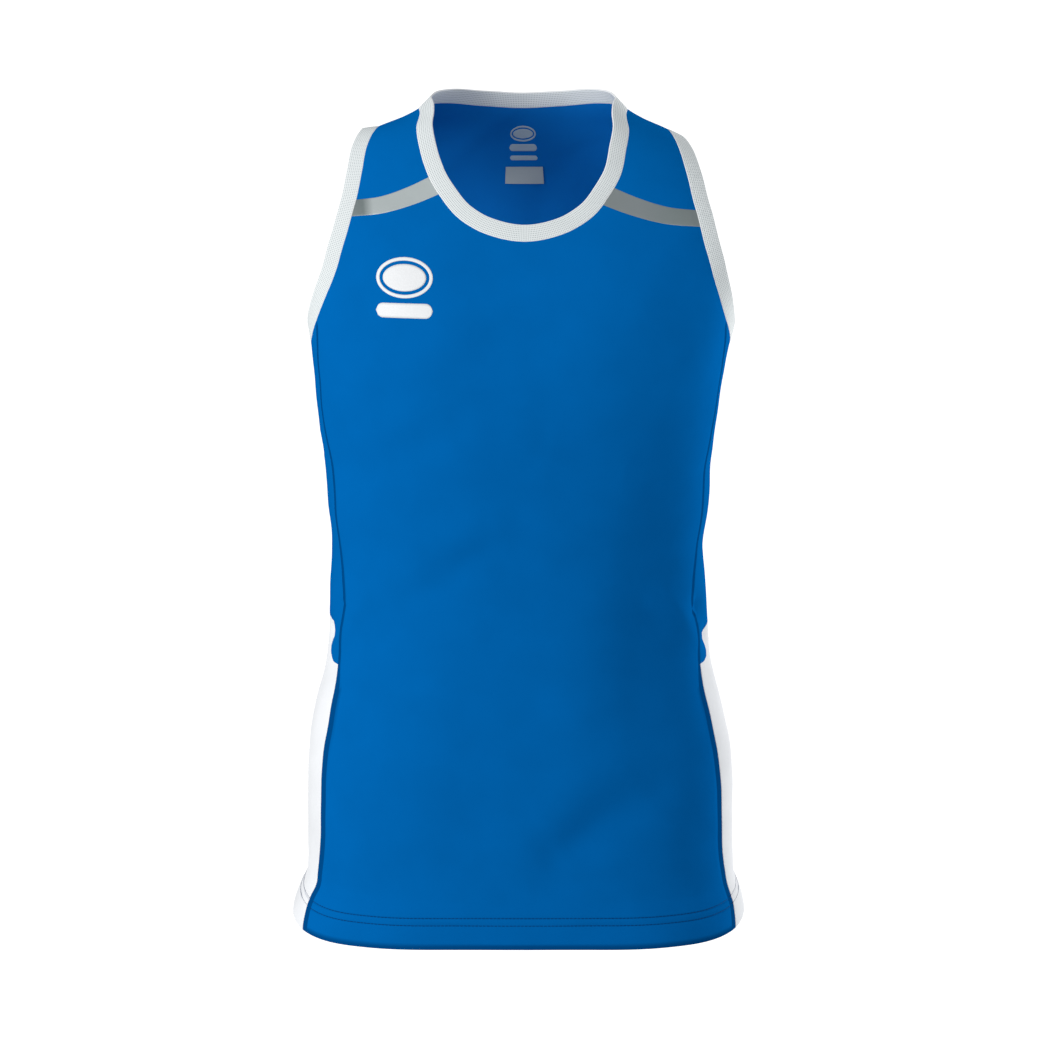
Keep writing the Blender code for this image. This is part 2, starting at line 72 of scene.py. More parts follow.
def smooth(curve, column, at):
    """A column of a table as a smooth curve of the table's first column, read at any values."""
    known = next(iter(curve.values()))
    values = curve[column]
    slopes = np.gradient(values, known)
    at = np.clip(np.asarray(at, float), known[0], known[-1])
    i = np.clip(np.searchsorted(known, at, side="right") - 1, 0, len(known) - 2)
    span = known[i + 1] - known[i]
    t = (at - known[i]) / span
    return (
        values[i] * (1 + 2 * t) * (1 - t) ** 2
        + values[i + 1] * t**2 * (3 - 2 * t)
        + span * slopes[i] * t * (1 - t) ** 2
        - span * slopes[i + 1] * t**2 * (1 - t)
    )


RINGS = table(
    "height half front back square sway",
    (-0.694, 0.1985, 0.1190, 0.1180, 2.90, -0.0022),
    (-0.684, 0.1974, 0.1187, 0.1178, 2.88, -0.0018),
    (-0.676, 0.1955, 0.1180, 0.1170, 2.84, -0.0014),
    (-0.668, 0.1930, 0.1168, 0.1160, 2.80, -0.0010),
    (-0.660, 0.1894, 0.1155, 0.1147, 2.76, -0.0006),
    (-0.652, 0.1862, 0.1142, 0.1138, 2.70, 0.0002),
    (-0.638, 0.1850, 0.1132, 0.1134, 2.66, 0.0000),
    (-0.608, 0.1846, 0.1130, 0.1135, 2.62, -0.0002),
    (-0.570, 0.1842, 0.1135, 0.1130, 2.58, -0.0002),
    (-0.535, 0.1820, 0.1130, 0.1090, 2.52, -0.0008),
    (-0.500, 0.1752, 0.1110, 0.1020, 2.46, -0.0015),
    (-0.465, 0.1662, 0.1075, 0.0945, 2.42, -0.0018),
    (-0.430, 0.1630, 0.1045, 0.0900, 2.40, -0.0015),
    (-0.395, 0.1615, 0.1030, 0.0890, 2.38, -0.0022),
    (-0.360, 0.1596, 0.1040, 0.0900, 2.38, -0.0022),
    (-0.325, 0.1632, 0.1070, 0.0940, 2.40, -0.0018),
    (-0.290, 0.1660, 0.1110, 0.0990, 2.40, -0.0020),
    (-0.255, 0.1708, 0.1155, 0.1040, 2.40, -0.0020),
    (-0.220, 0.1742, 0.1180, 0.1080, 2.40, -0.0010),
    (-0.190, 0.1778, 0.1180, 0.1100, 2.40, 0.0003),
    (-0.160, 0.1815, 0.1140, 0.1110, 2.35, 0.0012),
    (-0.130, 0.1840, 0.1070, 0.1100, 2.30, 0.0028),
    (-0.100, 0.1840, 0.0965, 0.1070, 2.30, 0.0036),
    (-0.070, 0.1765, 0.0840, 0.1010, 2.30, 0.0036),
    (-0.045, 0.1635, 0.0725, 0.0935, 2.30, 0.0032),
    (-0.025, 0.1450, 0.0620, 0.0850, 2.28, 0.0022),
    (-0.010, 0.1215, 0.0535, 0.0770, 2.25, 0.0022),
    (0.000, 0.0990, 0.0480, 0.0710, 2.22, 0.0022),
    (0.0075, 0.0868, 0.0445, 0.0665, 2.20, 0.0022),
    (0.0140, 0.0790, 0.0420, 0.0625, 2.20, 0.0022),
)
print("rings:", len(RINGS["height"]))

# %% [markdown]
# ## Folds and creases
#
# Knitted cloth that is filled out has few folds: broad swells over the chest, a hollow under it, soft
# diagonals where the cloth is pulled to the waist, and small cross creases at the sides of the waist.
# Each one is a row with its two ends, how wide it reaches and how far it stands out, or in where the
# number is below zero; one whose ends are the same is a round dimple. A fold is deepest in its middle
# and fades toward its ends. Most of the broad ones are in the CAD part too. The finer ones are only
# here, and none is quite like another, because even rows of creases look made.

# %% Folds and creases
FOLD_RADIUS = 0.145
FOLD_LEAST, FOLD_BLUNT = 0.35, 0.08
FOLDS = (
    # turn, height at one end; turn, height at the other; reach, rise
    (25, -0.215, 30, -0.150, 0.038, 0.0030),
    (-27, -0.215, -32, -0.150, 0.038, 0.0030),
    (45, -0.285, 12, -0.262, 0.020, -0.0026),
    (-24, -0.250, -66, -0.295, 0.016, -0.0024),
    (62, -0.110, 54, -0.175, 0.018, -0.0030),
    (-62, -0.120, -54, -0.175, 0.018, -0.0022),
    (-16, -0.352, -44, -0.395, 0.014, -0.0018),
    (-10, -0.330, -40, -0.360, 0.018, 0.0018),
    (54, -0.300, 50, -0.560, 0.028, -0.0040),
    (28, -0.420, 22, -0.520, 0.035, 0.0020),
    (16, -0.614, 48, -0.556, 0.020, -0.0040),
    (4, -0.592, 32, -0.538, 0.024, 0.0026),
    (-34, -0.480, -38, -0.600, 0.036, 0.0026),
    (91, -0.205, 91, -0.285, 0.022, -0.0034),
    (-91, -0.262, -91, -0.288, 0.020, -0.0036),
    (92, -0.355, 92, -0.370, 0.014, -0.0030),
    (180, -0.120, 180, -0.420, 0.030, -0.0040),
    (148, -0.190, 142, -0.100, 0.040, 0.0030),
    (-148, -0.190, -142, -0.100, 0.040, 0.0030),
    (168, -0.425, 122, -0.400, 0.014, -0.0026),
    (-166, -0.415, -120, -0.432, 0.014, -0.0026),
    (150, -0.455, 112, -0.450, 0.012, -0.0020),
    (-150, -0.462, -114, -0.470, 0.012, -0.0020),
    (150, -0.560, 156, -0.640, 0.030, 0.0024),
    (-152, -0.560, -156, -0.640, 0.030, 0.0024),
)
CREASES = (
    (80, -0.4385, 80, -0.4385, 0.0085, -0.0046),
    (73, -0.407, 75, -0.414, 0.0095, -0.0050),
    (60, -0.392, 71, -0.440, 0.0060, 0.0016),
    (52, -0.402, 64, -0.450, 0.0100, -0.0014),
    (-81, -0.434, -81, -0.434, 0.0085, -0.0056),
    (-72, -0.402, -73, -0.414, 0.0100, -0.0018),
    (-62, -0.398, -71, -0.440, 0.0070, 0.0008),
    (52, -0.560, 66, -0.610, 0.0090, -0.0010),
    (-60, -0.520, -52, -0.580, 0.0110, -0.0008),
    (8, -0.640, 46, -0.628, 0.0080, -0.0006),
    (-5, -0.530, -3, -0.615, 0.0450, 0.0026),
    (68, -0.165, 50, -0.190, 0.0080, -0.0008),
    (-70, -0.168, -56, -0.196, 0.0080, -0.0008),
    (178, -0.300, 150, -0.345, 0.0100, -0.0010),
    (-176, -0.345, -146, -0.315, 0.0110, -0.0010),
    (164, -0.380, 128, -0.372, 0.0080, -0.0009),
    (-160, -0.372, -126, -0.388, 0.0080, -0.0009),
    (112, -0.170, 130, -0.215, 0.0090, -0.0009),
    (-112, -0.170, -132, -0.205, 0.0090, -0.0009),
)


def rise_of(folds, turn, height):
    """How far a table of folds pushes the cloth out at a turn and a height."""
    total = np.zeros(np.broadcast(turn, height).shape)
    for turn_a, height_a, turn_b, height_b, reach, rise in folds:
        start = np.array((np.radians(turn_a) * FOLD_RADIUS, height_a))
        run = np.array((np.radians(turn_b) * FOLD_RADIUS, height_b)) - start
        away = (np.asarray(turn) - turn_a + 180) % 360 - 180 + turn_a
        u = np.radians(away) * FOLD_RADIUS - start[0]
        v = height - start[1]
        along = np.clip((u * run[0] + v * run[1]) / (run @ run), 0, 1) if run.any() else 0.5
        far = np.hypot(u - along * run[0], v - along * run[1]) / reach
        middling = np.sin(np.pi * np.clip(along, FOLD_BLUNT, 1 - FOLD_BLUNT))
        ends = FOLD_LEAST + (1 - FOLD_LEAST) * middling
        total = total + rise * ends * np.exp(-(far**2))
    return total


print("folds:", len(FOLDS), "creases:", len(CREASES))

# %% [markdown]
# ## From turn and height to a point
#
# `form` gives the point on the cloth's outer face. A slow, slight waviness is added over it all, less
# than half a millimetre, because no knit hangs perfectly even. `form_normal` gives the way out of the
# cloth, from which walls get their thickness and stitches their lift. The wearer's right shoulder
# stands three millimetres higher than the left.

# %% Points on the form
SHOULDER_LIFT = 0.0030
LIFT_TURN, LIFT_TURN_REACH = -90.0, 35.0
LIFT_HEIGHT, LIFT_HEIGHT_REACH = -0.020, 0.022
WAVES = (
    # times round; waves per metre of height; start in degrees; height of the wave
    (5, 9.0, 20, 0.00016),
    (7, -13.0, 130, 0.00013),
    (11, 21.0, 250, 0.00009),
    (3, 31.0, 75, 0.00010),
)


def form(turn, height):
    """Points on the outer face of the cloth at turns (degrees) and heights (metres)."""
    turn, height = np.broadcast_arrays(np.asarray(turn, float), np.asarray(height, float))
    angle = np.radians(turn)
    square, sway = smooth(RINGS, "square", height), smooth(RINGS, "sway", height)
    depth = np.where(np.cos(angle) > 0, smooth(RINGS, "front", height), smooth(RINGS, "back", height))
    across = np.abs(np.sin(angle)) / smooth(RINGS, "half", height)
    deep = np.abs(np.cos(angle)) / depth
    radius = (across**square + deep**square) ** (-1 / square)
    radius = radius + rise_of(FOLDS, turn, height) + rise_of(CREASES, turn, height)
    for times, tall, start, wave in WAVES:
        radius = radius + wave * np.sin(times * angle + np.radians(start) + 2 * np.pi * tall * height)
    off_lift = (turn - LIFT_TURN + 180) % 360 - 180
    lift = np.exp(-((off_lift / LIFT_TURN_REACH) ** 2) - ((height - LIFT_HEIGHT) / LIFT_HEIGHT_REACH) ** 2)
    level = height + SHOULDER_LIFT * lift
    return np.stack([radius * np.sin(angle) + sway, -radius * np.cos(angle), level], -1)


def unit(vectors):
    """Vectors made one metre long."""
    return vectors / np.linalg.norm(vectors, axis=-1, keepdims=True)


def form_normal(turn, height):
    """The way out of the cloth, one metre long."""
    step_turn, step_height = 0.3, 0.0005
    along = form(turn + step_turn, height) - form(turn - step_turn, height)
    up = form(turn, height + step_height) - form(turn, height - step_height)
    return unit(np.cross(along, up))


print("middle of the chest:", form(0, -0.2).round(3), "side of the waist:", form(90, -0.4).round(3))

# %% [markdown]
# ## Where the seams run
#
# The seams are the ones of the CAD part, so that every piece of cloth stays in its own solid's place:
# the hem's edge, the neck, the two armholes, the seams at the sides, the stripe and the shoulder. Each
# is a dense line of turns and heights.

# %% Tables of the seam lines
HEM_EDGE = table(
    "turn height",
    (-25.0, -0.6906),
    (0.0, -0.6906),
    (25.0, -0.6908),
    (50.0, -0.6920),
    (62.0, -0.6913),
    (70.0, -0.6886),
    (78.0, -0.6845),
    (90.0, -0.6815),
    (102.0, -0.6845),
)
NECK_SEAM = table(
    "turn height",
    (-15.0, -0.0940),
    (0.0, -0.0980),
    (15.0, -0.0940),
    (24.6, -0.0877),
    (35.3, -0.0751),
    (42.1, -0.0624),
    (48.1, -0.0496),
    (53.3, -0.0369),
    (58.4, -0.0241),
    (64.7, -0.0113),
    (75.0, 0.0020),
    (90.0, 0.0078),
    (105.0, 0.0108),
    (122.0, 0.0115),
    (150.0, 0.0088),
    (180.0, 0.0068),
    (210.0, 0.0088),
)
SIDE_SEAM = table(
    "height front_turn back_turn",
    (-0.688, 70.4, 70.0),
    (-0.660, 72.3, 71.5),
    (-0.620, 71.2, 70.5),
    (-0.560, 70.7, 70.0),
    (-0.500, 70.4, 69.5),
    (-0.430, 72.2, 70.0),
    (-0.400, 71.2, 70.5),
    (-0.350, 75.0, 72.0),
    (-0.300, 73.8, 73.0),
    (-0.230, 76.3, 74.0),
    (-0.167, 75.8, 74.0),
)
STRIPE_LOWER = table(
    "share height",
    (0.0, -0.0800),
    (0.35, -0.0768),
    (0.70, -0.0690),
    (1.0, -0.0607),
)
STRIPE_WIDTH = 0.0135
STRIPE_DROP = {"left": 0.0085, "right": 0.0}
ARMHOLE_Z = -0.0980
ARMHOLE_UP, ARMHOLE_DOWN = 0.0875, 0.0940
ARMHOLE_TURN_FRONT, ARMHOLE_TURN_BACK = 23.0, 29.0
ARMHOLE_SHAPE_UP, ARMHOLE_SHAPE_DOWN = 0.88, 1.10
SEAM_TOP = -0.1670
SEAM_EASE = 0.070
SEAM_SHIFT = 1.2
SPLIT_FRONT, SPLIT_BACK = -0.4600, -0.3850
SPLIT = {
    "left": table(
        "share height",
        (0.0, SPLIT_FRONT),
        (0.12, -0.4575),
        (0.175, -0.4530),
        (0.205, -0.4390),
        (0.27, -0.4330),
        (0.50, -0.4290),
        (1.0, SPLIT_BACK),
    ),
    "right": table(
        "share height",
        (0.0, SPLIT_FRONT),
        (0.15, -0.4555),
        (0.205, -0.4480),
        (0.235, -0.4320),
        (0.30, -0.4262),
        (0.50, -0.4230),
        (1.0, SPLIT_BACK),
    ),
}
SIDES = {"left": 1, "right": -1}
print("stripe width in mm:", STRIPE_WIDTH * 1000)

# %% Lines of turn and height
DENSE = 240


def line(turns, heights):
    """Turns and heights as one array of points."""
    turns, heights = np.broadcast_arrays(np.asarray(turns, float), np.asarray(heights, float))
    return np.stack([turns, heights], -1)


def lengths_along(points):
    """How far along a row of points each of them is, from the first."""
    return np.concatenate([[0], np.cumsum(np.linalg.norm(np.diff(points, axis=0), axis=1))])


def shares_of(points):
    """How far along a line each of its points is, from 0 to 1."""
    way = lengths_along(points * (np.radians(FOLD_RADIUS), 1))
    return way / way[-1]


def joined(*runs):
    """Lines that meet end to end, as one line."""
    return np.concatenate([runs[0]] + [run[1:] for run in runs[1:]])


print("points along each seam line:", DENSE)

# %% Edges that are bound: hem, neck and armholes


def hem_height(turn):
    """Height of the lower edge at a turn."""
    return smooth(HEM_EDGE, "height", np.abs((np.asarray(turn, float) + 90) % 180 - 90))


def neck_height(turn):
    """Height of the neck seam at a turn."""
    return smooth(NECK_SEAM, "height", np.abs((np.asarray(turn, float) + 180) % 360 - 180))


def armhole_line(first_swing, last_swing, side, count=DENSE):
    """Points on an armhole seam between two swings: 0 at the bottom, 90 in front, 180 on top."""
    swing = np.radians(np.linspace(first_swing, last_swing, count))
    across, down = np.sin(swing), np.cos(swing)
    shape = np.where(down > 0, ARMHOLE_SHAPE_DOWN, ARMHOLE_SHAPE_UP)
    reach = np.where(across > 0, ARMHOLE_TURN_FRONT, ARMHOLE_TURN_BACK)
    turns = 90 - reach * np.sign(across) * np.abs(across) ** shape
    return line(side * turns, ARMHOLE_Z - np.where(down > 0, ARMHOLE_DOWN, ARMHOLE_UP) * down)


def armhole_swing(height, at_front):
    """The swing at which an armhole seam passes a height, on its front or its back half."""
    reach = ARMHOLE_DOWN if height < ARMHOLE_Z else ARMHOLE_UP
    swing = np.degrees(np.arccos((ARMHOLE_Z - height) / reach))
    return swing if at_front else 360 - swing


def neck_line(first_turn, last_turn, count=DENSE):
    """Points on the neck seam between two turns."""
    turns = np.linspace(first_turn, last_turn, count)
    return line(turns, neck_height(turns))


neck_round = lengths_along(form(*neck_line(0, 360).T))[-1]
armhole_round = lengths_along(form(*armhole_line(0, 360, 1).T))[-1]
print("round the neck: %.3f m, round an armhole: %.3f m" % (neck_round, armhole_round))

# %% Seams between panels
NECK_FRONT = np.linspace(0, 66, 400)


def side_seam(at_front, side, low=None, high=SEAM_TOP):
    """A side seam from the hem, or from a height low, up to a height high."""

    def turn_at(height):
        if not at_front:
            return 180 - smooth(SIDE_SEAM, "back_turn", height)
        return smooth(SIDE_SEAM, "front_turn", height) + (SEAM_SHIFT if side > 0 else 0)

    if low is None:
        low = float(hem_height(turn_at(SIDE_SEAM["height"][0])))
    heights = np.linspace(low, high, DENSE)
    end_turn = abs(armhole_line(armhole_swing(SEAM_TOP, at_front), 180, 1)[0, 0])
    ease = np.clip((heights - SEAM_TOP) / SEAM_EASE + 1, 0, 1) ** 2
    return line(side * (turn_at(heights) + (end_turn - turn_at(SEAM_TOP)) * ease), heights)


def stripe_line(side_name, rise):
    """Points along the stripe, from the armhole to the neck, at a rise over its lower edge."""
    shares = np.linspace(0, 1, DENSE)
    heights = smooth(STRIPE_LOWER, "height", shares) - STRIPE_DROP[side_name] + rise
    outer_turn = armhole_line(armhole_swing(heights[0], True), 180, 1)[0, 0]
    inner_turn = np.interp(heights[-1], neck_height(NECK_FRONT), NECK_FRONT)
    return line(SIDES[side_name] * (outer_turn + (inner_turn - outer_turn) * shares), heights)


def shoulder_line(side):
    """The shoulder seam on the ridge, from the armhole to the neck."""
    return line(side * 90.0, np.linspace(ARMHOLE_Z + ARMHOLE_UP, neck_height(90.0), DENSE))


print("side seam: %.3f m long" % lengths_along(form(*side_seam(True, 1).T))[-1])

# %% [markdown]
# ## Cutting a panel out of the form
#
# A panel has four seam lines. Between them we spread a net of points, close together beside the seams
# and wider in the middle, because the shape there is simple. Where a side has a corner in it, as where
# the stripe meets the neck, a column of the net must pass through the corner, or it would be cut off.
#
# The net becomes a thin wall of cloth. At each seam the cloth rolls in, as it does where two layers
# are sewn together and turned, and it puckers a little from the pull of the thread. How much painted
# shade falls beside each seam and along the stitch rows is kept on the mesh, and the finish darkens
# the cloth there. A UV map in metres lets the knit follow the cloth.

# %% Nets between seam lines
PITCH = 0.0042
NEAR_SEAM = np.array((0, 3, 7, 12, 19, 28, 36, 42, 48, 62, 71, 77, 83)) / 10000
NEAR_SHARE = 0.3


def at_shares(points, shares):
    """A line read at shares of its length."""
    own = shares_of(points)
    return np.stack([np.interp(shares, own, points[:, k]) for k in (0, 1)], -1)


def spread(length, corners=(), pitch=PITCH):
    """Shares of a length, close together at its ends and at corners, which it passes through."""
    stops = [0.0, *corners, 1.0]
    shares = []
    for first, last in zip(stops[:-1], stops[1:]):
        run = (last - first) * length
        edge = NEAR_SEAM[NEAR_SEAM < run * NEAR_SHARE]
        count = max(int(round((run - 2 * edge[-1]) / pitch)), 1)
        middle = np.linspace(edge[-1], run - edge[-1], count + 1)[1:-1]
        places = np.concatenate([edge, middle, (run - edge)[::-1]]) / run
        shares.append(first + (last - first) * places)
    return np.unique(np.concatenate(shares).round(7))


def net(bottom, top, start, end, s, t):
    """Turns and heights between four lines, at shares s across and t up."""
    low, high = at_shares(bottom, s), at_shares(top, s)
    first, last = at_shares(start, t), at_shares(end, t)
    s, t = s[None, :, None], t[:, None, None]
    across = (1 - s) * first[:, None] + s * last[:, None]
    up = (1 - t) * low[None] + t * high[None]
    bent_low = (1 - s) * low[0] + s * low[-1]
    bent_high = (1 - s) * high[0] + s * high[-1]
    return across + up - (1 - t) * bent_low - t * bent_high


print("points across a 0.4 m panel:", len(spread(0.4)))

# %% A thin wall
CLOTH = 0.0009
ROUND_EDGE = 42


def into_scene(name, data):
    """A new object in the scene, made of some data."""
    made = bpy.data.objects.new(name, data)
    bpy.context.scene.collection.objects.link(made)
    return made


def mark_points(mesh, mark, values):
    """Keeps a number for each point of a mesh, under a name that a finish can read."""
    layer = mesh.attributes.new(mark, "FLOAT", "POINT")
    layer.data.foreach_set("value", np.ravel(values).astype(np.float32))


def round_off(piece, sharpest):
    """Smooth shading, but not over edges that are sharper than an angle in degrees."""
    bpy.context.view_layer.objects.active = piece
    piece.select_set(True)
    bpy.ops.object.shade_smooth_by_angle(angle=math.radians(sharpest))
    piece.select_set(False)


def wall(name, outer, inner, uv, marks=None):
    """A closed wall between an outer and an inner grid of points, with a UV map in metres."""
    rows, columns = outer.shape[:2]
    count = rows * columns
    i = np.arange(count).reshape(rows, columns)
    quads = np.stack([i[:-1, :-1], i[:-1, 1:], i[1:, 1:], i[1:, :-1]], -1).reshape(-1, 4)
    loop = np.concatenate([i[0, :], i[1:, -1], i[-1, -2::-1], i[-2:0:-1, 0]])
    after = np.roll(loop, -1)
    rim = np.stack([after, loop, loop + count, after + count], -1)
    faces = np.concatenate([quads, quads[:, ::-1] + count, rim])
    mesh = bpy.data.meshes.new(name)
    mesh.from_pydata(np.concatenate([outer.reshape(-1, 3), inner.reshape(-1, 3)]), [], faces.tolist())
    flat = np.tile(uv.reshape(-1, 2), (2, 1))[faces.ravel()]
    mesh.uv_layers.new(name="cloth").data.foreach_set("uv", flat.ravel())
    for mark, values in (marks or {}).items():
        mark_points(mesh, mark, np.tile(values.ravel(), 2))
    # Marks the inner face, which the knit finish paints paler: painted light for the inside.
    mark_points(mesh, "lit_inside", np.repeat((0, 1), count))
    piece = into_scene(name, mesh)
    round_off(piece, ROUND_EDGE)
    return piece


def half_area(piece):
    """Half of a wall's surface, which is the area of its cloth."""
    return sum(face.area for face in piece.data.polygons) / 2


print("cloth: %.1f mm thick" % (CLOTH * 1000))

# %% A panel with its seams
SEAM_ROLL, SEAM_DEPTH = 0.0010, 0.0008
SEAM_PRESS, BAND_FADE = 0.00025, 0.0009
# Widths of the band beside the side seams that is sunk a little and darkened with painted shade.
BAND, BAND_MORE = 0.0046, 0.0036
BAND_ENDS, BAND_WIDENS = 0.006, 0.020
# How dark the painted shade along the stitch rows is.
STITCH_SHADE = 0.3
SHALLOW = 0.25
PUCKERS = ((760, 0.0), (431, 1.3), (1130, 0.4))  # radians per metre, where each wave starts
PUCKER_DEPTH, PUCKER_REACH, PUCKER_START = 0.00005, 0.004, 0.0008
LEAST_WALL = 0.0003


def beside_seam(grid, split):
    """How deep a side seam is at each point's height, and how wide the band beside it is, which it
    presses in and which is darkened with painted shade: wider below a height split, along the white,
    and none along the armhole, where a tape covers the edge."""
    height = grid[..., 1]
    fade = np.clip((SEAM_TOP - height) / BAND_ENDS, 0, 1)
    wider = np.clip((split - height) / BAND_WIDENS, 0, 1)
    return SHALLOW + (1 - SHALLOW) * fade, fade * (BAND + BAND_MORE * wider)


def ways(points):
    """Length along each row and each column of a grid of points, from its first and its last edge."""
    across = np.linalg.norm(np.diff(points, axis=1), axis=2)
    up = np.linalg.norm(np.diff(points, axis=0), axis=2)
    from_left = np.pad(np.cumsum(across, axis=1), ((0, 0), (1, 0)))
    from_low = np.pad(np.cumsum(up, axis=0), ((1, 0), (0, 0)))
    return from_left, from_left[:, -1:] - from_left, from_low, from_low[-1:] - from_low


def cut_panel(name, turns_heights, finish, sewn, bands=(0, 0, 0, 0), thick=None, dent=None):
    """A panel of cloth on a net. sewn and bands: how deep the seam is, from 0 to 1, and how wide the
    band beside it is that the seam presses in and that is darkened with painted shade, at its first
    and last column and at its lowest and highest row. thick: its thickness, where it isn't one layer.
    dent: how far it is drawn in elsewhere, as under a row of stitches, where painted shade darkens it too."""
    turn, height = turns_heights[..., 0], turns_heights[..., 1]
    flat = form(turn, height)
    normal = form_normal(turn, height)
    edges = ways(flat)
    sink = np.zeros(turn.shape)
    nearest = np.full(turn.shape, 1.0)
    shade = np.zeros(turn.shape)
    for edge, depth, band in zip(edges, sewn, bands):
        over = np.clip(1 - edge / SEAM_ROLL, 0, 1)
        # The band beside a seam: sunk a little, and darkened with painted shade.
        pressed_and_shaded = np.clip((band - edge) / BAND_FADE, 0, 1)
        rolled = SEAM_DEPTH * (1 - np.sqrt(1 - over**2))
        sink = np.maximum(sink, np.maximum(depth * rolled, SEAM_PRESS * pressed_and_shaded))
        nearest = np.minimum(nearest, edge)
        shade = np.maximum(shade, pressed_and_shaded)
    along = edges[2] + edges[0]
    pull = sum(np.sin(along * pace + start) for pace, start in PUCKERS)
    pucker = PUCKER_DEPTH * pull * np.exp(-nearest / PUCKER_REACH)
    sink = sink + pucker * (1 - np.exp(-nearest / PUCKER_START))
    # Under a row of stitches the cloth sinks, and painted shade darkens it.
    if dent is not None:
        sink = sink + dent
        shade = np.maximum(shade, STITCH_SHADE * dent / dent.max())
    thickness = np.full(turn.shape, CLOTH) if thick is None else thick
    outer = flat - normal * sink[..., None]
    inner = flat - normal * np.maximum(thickness, sink + LEAST_WALL)[..., None]
    uv = np.stack([edges[0] - edges[0][:, -1:] / 2, edges[2]], -1)
    piece = wall(name, outer, inner, uv, {"seam_shade": shade})
    piece.data.materials.append(finish)
    print("%s: %d faces, %.4f m2" % (name, len(piece.data.polygons), half_area(piece)))
    return piece


# %% [markdown]
# ## The knit
#
# The cloth is a smooth polyester knit. Close to, it is rows of little V-shaped loops under a
# millimetre across; from a step away it is even and slightly silky, with a soft brightness toward the
# edges of the form that sheen gives. So the finish has these parts: the colour with a faint mottle,
# the loops as bump on the UV map, painted shade in the band beside each seam and along the stitch
# rows, and a paler colour on the inside face, which is painted light for the inside. The loops could
# be modelled, but there are about a million of them and none shows by itself.

# %% Parts of a finish


def new_finish(name, looks):
    """A Principled material with some of its sockets set, its tree of nodes and its shader."""
    material = bpy.data.materials.new(name)
    material.use_nodes = True
    shader = material.node_tree.nodes["Principled BSDF"]
    for socket, value in looks.items():
        shader.inputs[socket].default_value = value
    return material, material.node_tree, shader


def add_node(tree, kind, inputs=None, **settings):
    """A new node. Each of its inputs is a number, a colour or another node's output."""
    node = tree.nodes.new("ShaderNode" + kind)
    for setting, value in settings.items():
        setattr(node, setting, value)
    for socket, value in (inputs or {}).items():
        if isinstance(value, bpy.types.NodeSocket):
            tree.links.new(value, node.inputs[socket])
        else:
            node.inputs[socket].default_value = value
    return node


def sum_of(tree, kind, first, second=0.0):
    """A Math node on two outputs or numbers."""
    return add_node(tree, "Math", {0: first, 1: second}, operation=kind).outputs[0]


def on_cloth(tree):
    """A place on the UV map, in metres along the cloth."""
    return add_node(tree, "UVMap", uv_map="cloth").outputs[0]


def across_and_up(tree, place):
    """The two parts of a place on the UV map."""
    return add_node(tree, "SeparateXYZ", {0: place}).outputs[:2]


def colour_ramp(tree, value, *stops):
    """Colours for a value, from stops that are each a place and a colour."""
    node = add_node(tree, "ValToRGB", {0: value})
    elements = node.color_ramp.elements
    while len(elements) < len(stops):
        elements.new(0.5)
    for element, (place, colour) in zip(elements, stops):
        element.position = place
        element.color = (*colour, 1)
    return node.outputs[0]


def mottled(tree, colour, scale, darkest, lightest, ends=(0, 1), detail=2.0):
    """A soft noise over the piece, and a colour that it makes a little darker or lighter."""
    place = add_node(tree, "TexCoord").outputs["Object"]
    noise = add_node(tree, "TexNoise", {"Vector": place, "Scale": scale, "Detail": detail}).outputs["Fac"]
    shades = [[min(part * share, 1) for part in colour] for share in (darkest, lightest)]
    return noise, colour_ramp(tree, noise, *zip(ends, shades))


def paint(tree, shader, colour, height, strength, distance, **settings):
    """Gives a shader its colour, and bump of a height from 0 to 1."""
    tree.links.new(colour, shader.inputs["Base Color"])
    relief = {"Height": height, "Strength": strength, "Distance": distance}
    bump = add_node(tree, "Bump", relief, **settings)
    tree.links.new(bump.outputs[0], shader.inputs["Normal"])


print("the parts of a finish are ready")

# %% Knit finish
WALE, COURSE = 0.00110, 0.00085
SLANT, PLAIN = 1.6, 0.65


def knit_loops(tree):
    """The height of V-shaped knit loops, from 0 to 1, on the cloth's UV map."""
    across, up = across_and_up(tree, on_cloth(tree))
    in_column = sum_of(tree, "FRACT", sum_of(tree, "DIVIDE", across, WALE))
    from_middle = sum_of(tree, "ABSOLUTE", sum_of(tree, "SUBTRACT", in_column, 0.5))
    row = sum_of(tree, "DIVIDE", up, COURSE)
    slanted = sum_of(tree, "ADD", row, sum_of(tree, "MULTIPLY", from_middle, SLANT))
    turned = sum_of(tree, "SINE", sum_of(tree, "MULTIPLY", slanted, 2 * math.pi))
    loop = sum_of(tree, "MULTIPLY", turned, 1 - PLAIN)
    side = sum_of(tree, "SINE", sum_of(tree, "MULTIPLY", from_middle, 2 * math.pi))
    return sum_of(tree, "MULTIPLY", sum_of(tree, "ADD", loop, PLAIN), side)


def knit_finish(name, colour, painted_shade, lit_inside, sheen_tint, roughness):
    """A knitted cloth: colour with a faint mottle, painted shade by the seams and along the stitch
    rows, a paler colour on its inside face as painted light, and loops as bump."""
    silk = {"Sheen Weight": 0.05, "Sheen Roughness": 0.45, "Sheen Tint": (*sheen_tint, 1)}
    looks = {"Roughness": roughness, "Specular IOR Level": 0.0, **silk}
    material, tree, shader = new_finish(name, looks)
    shown = mottled(tree, colour, 26, 0.965, 1.03, ends=(0.3, 0.7), detail=3)[1]
    # Painted shade beside the seams and along the stitch rows, then a paler inside face as painted light.
    for mark, other in (("seam_shade", painted_shade), ("lit_inside", lit_inside)):
        share = add_node(tree, "Attribute", attribute_name=mark).outputs["Fac"]
        mix = add_node(tree, "Mix", {0: share, 6: shown, 7: (*other, 1)}, data_type="RGBA")
        shown = mix.outputs[2]
    paint(tree, shader, shown, knit_loops(tree), 0.35, 0.00012)
    return material


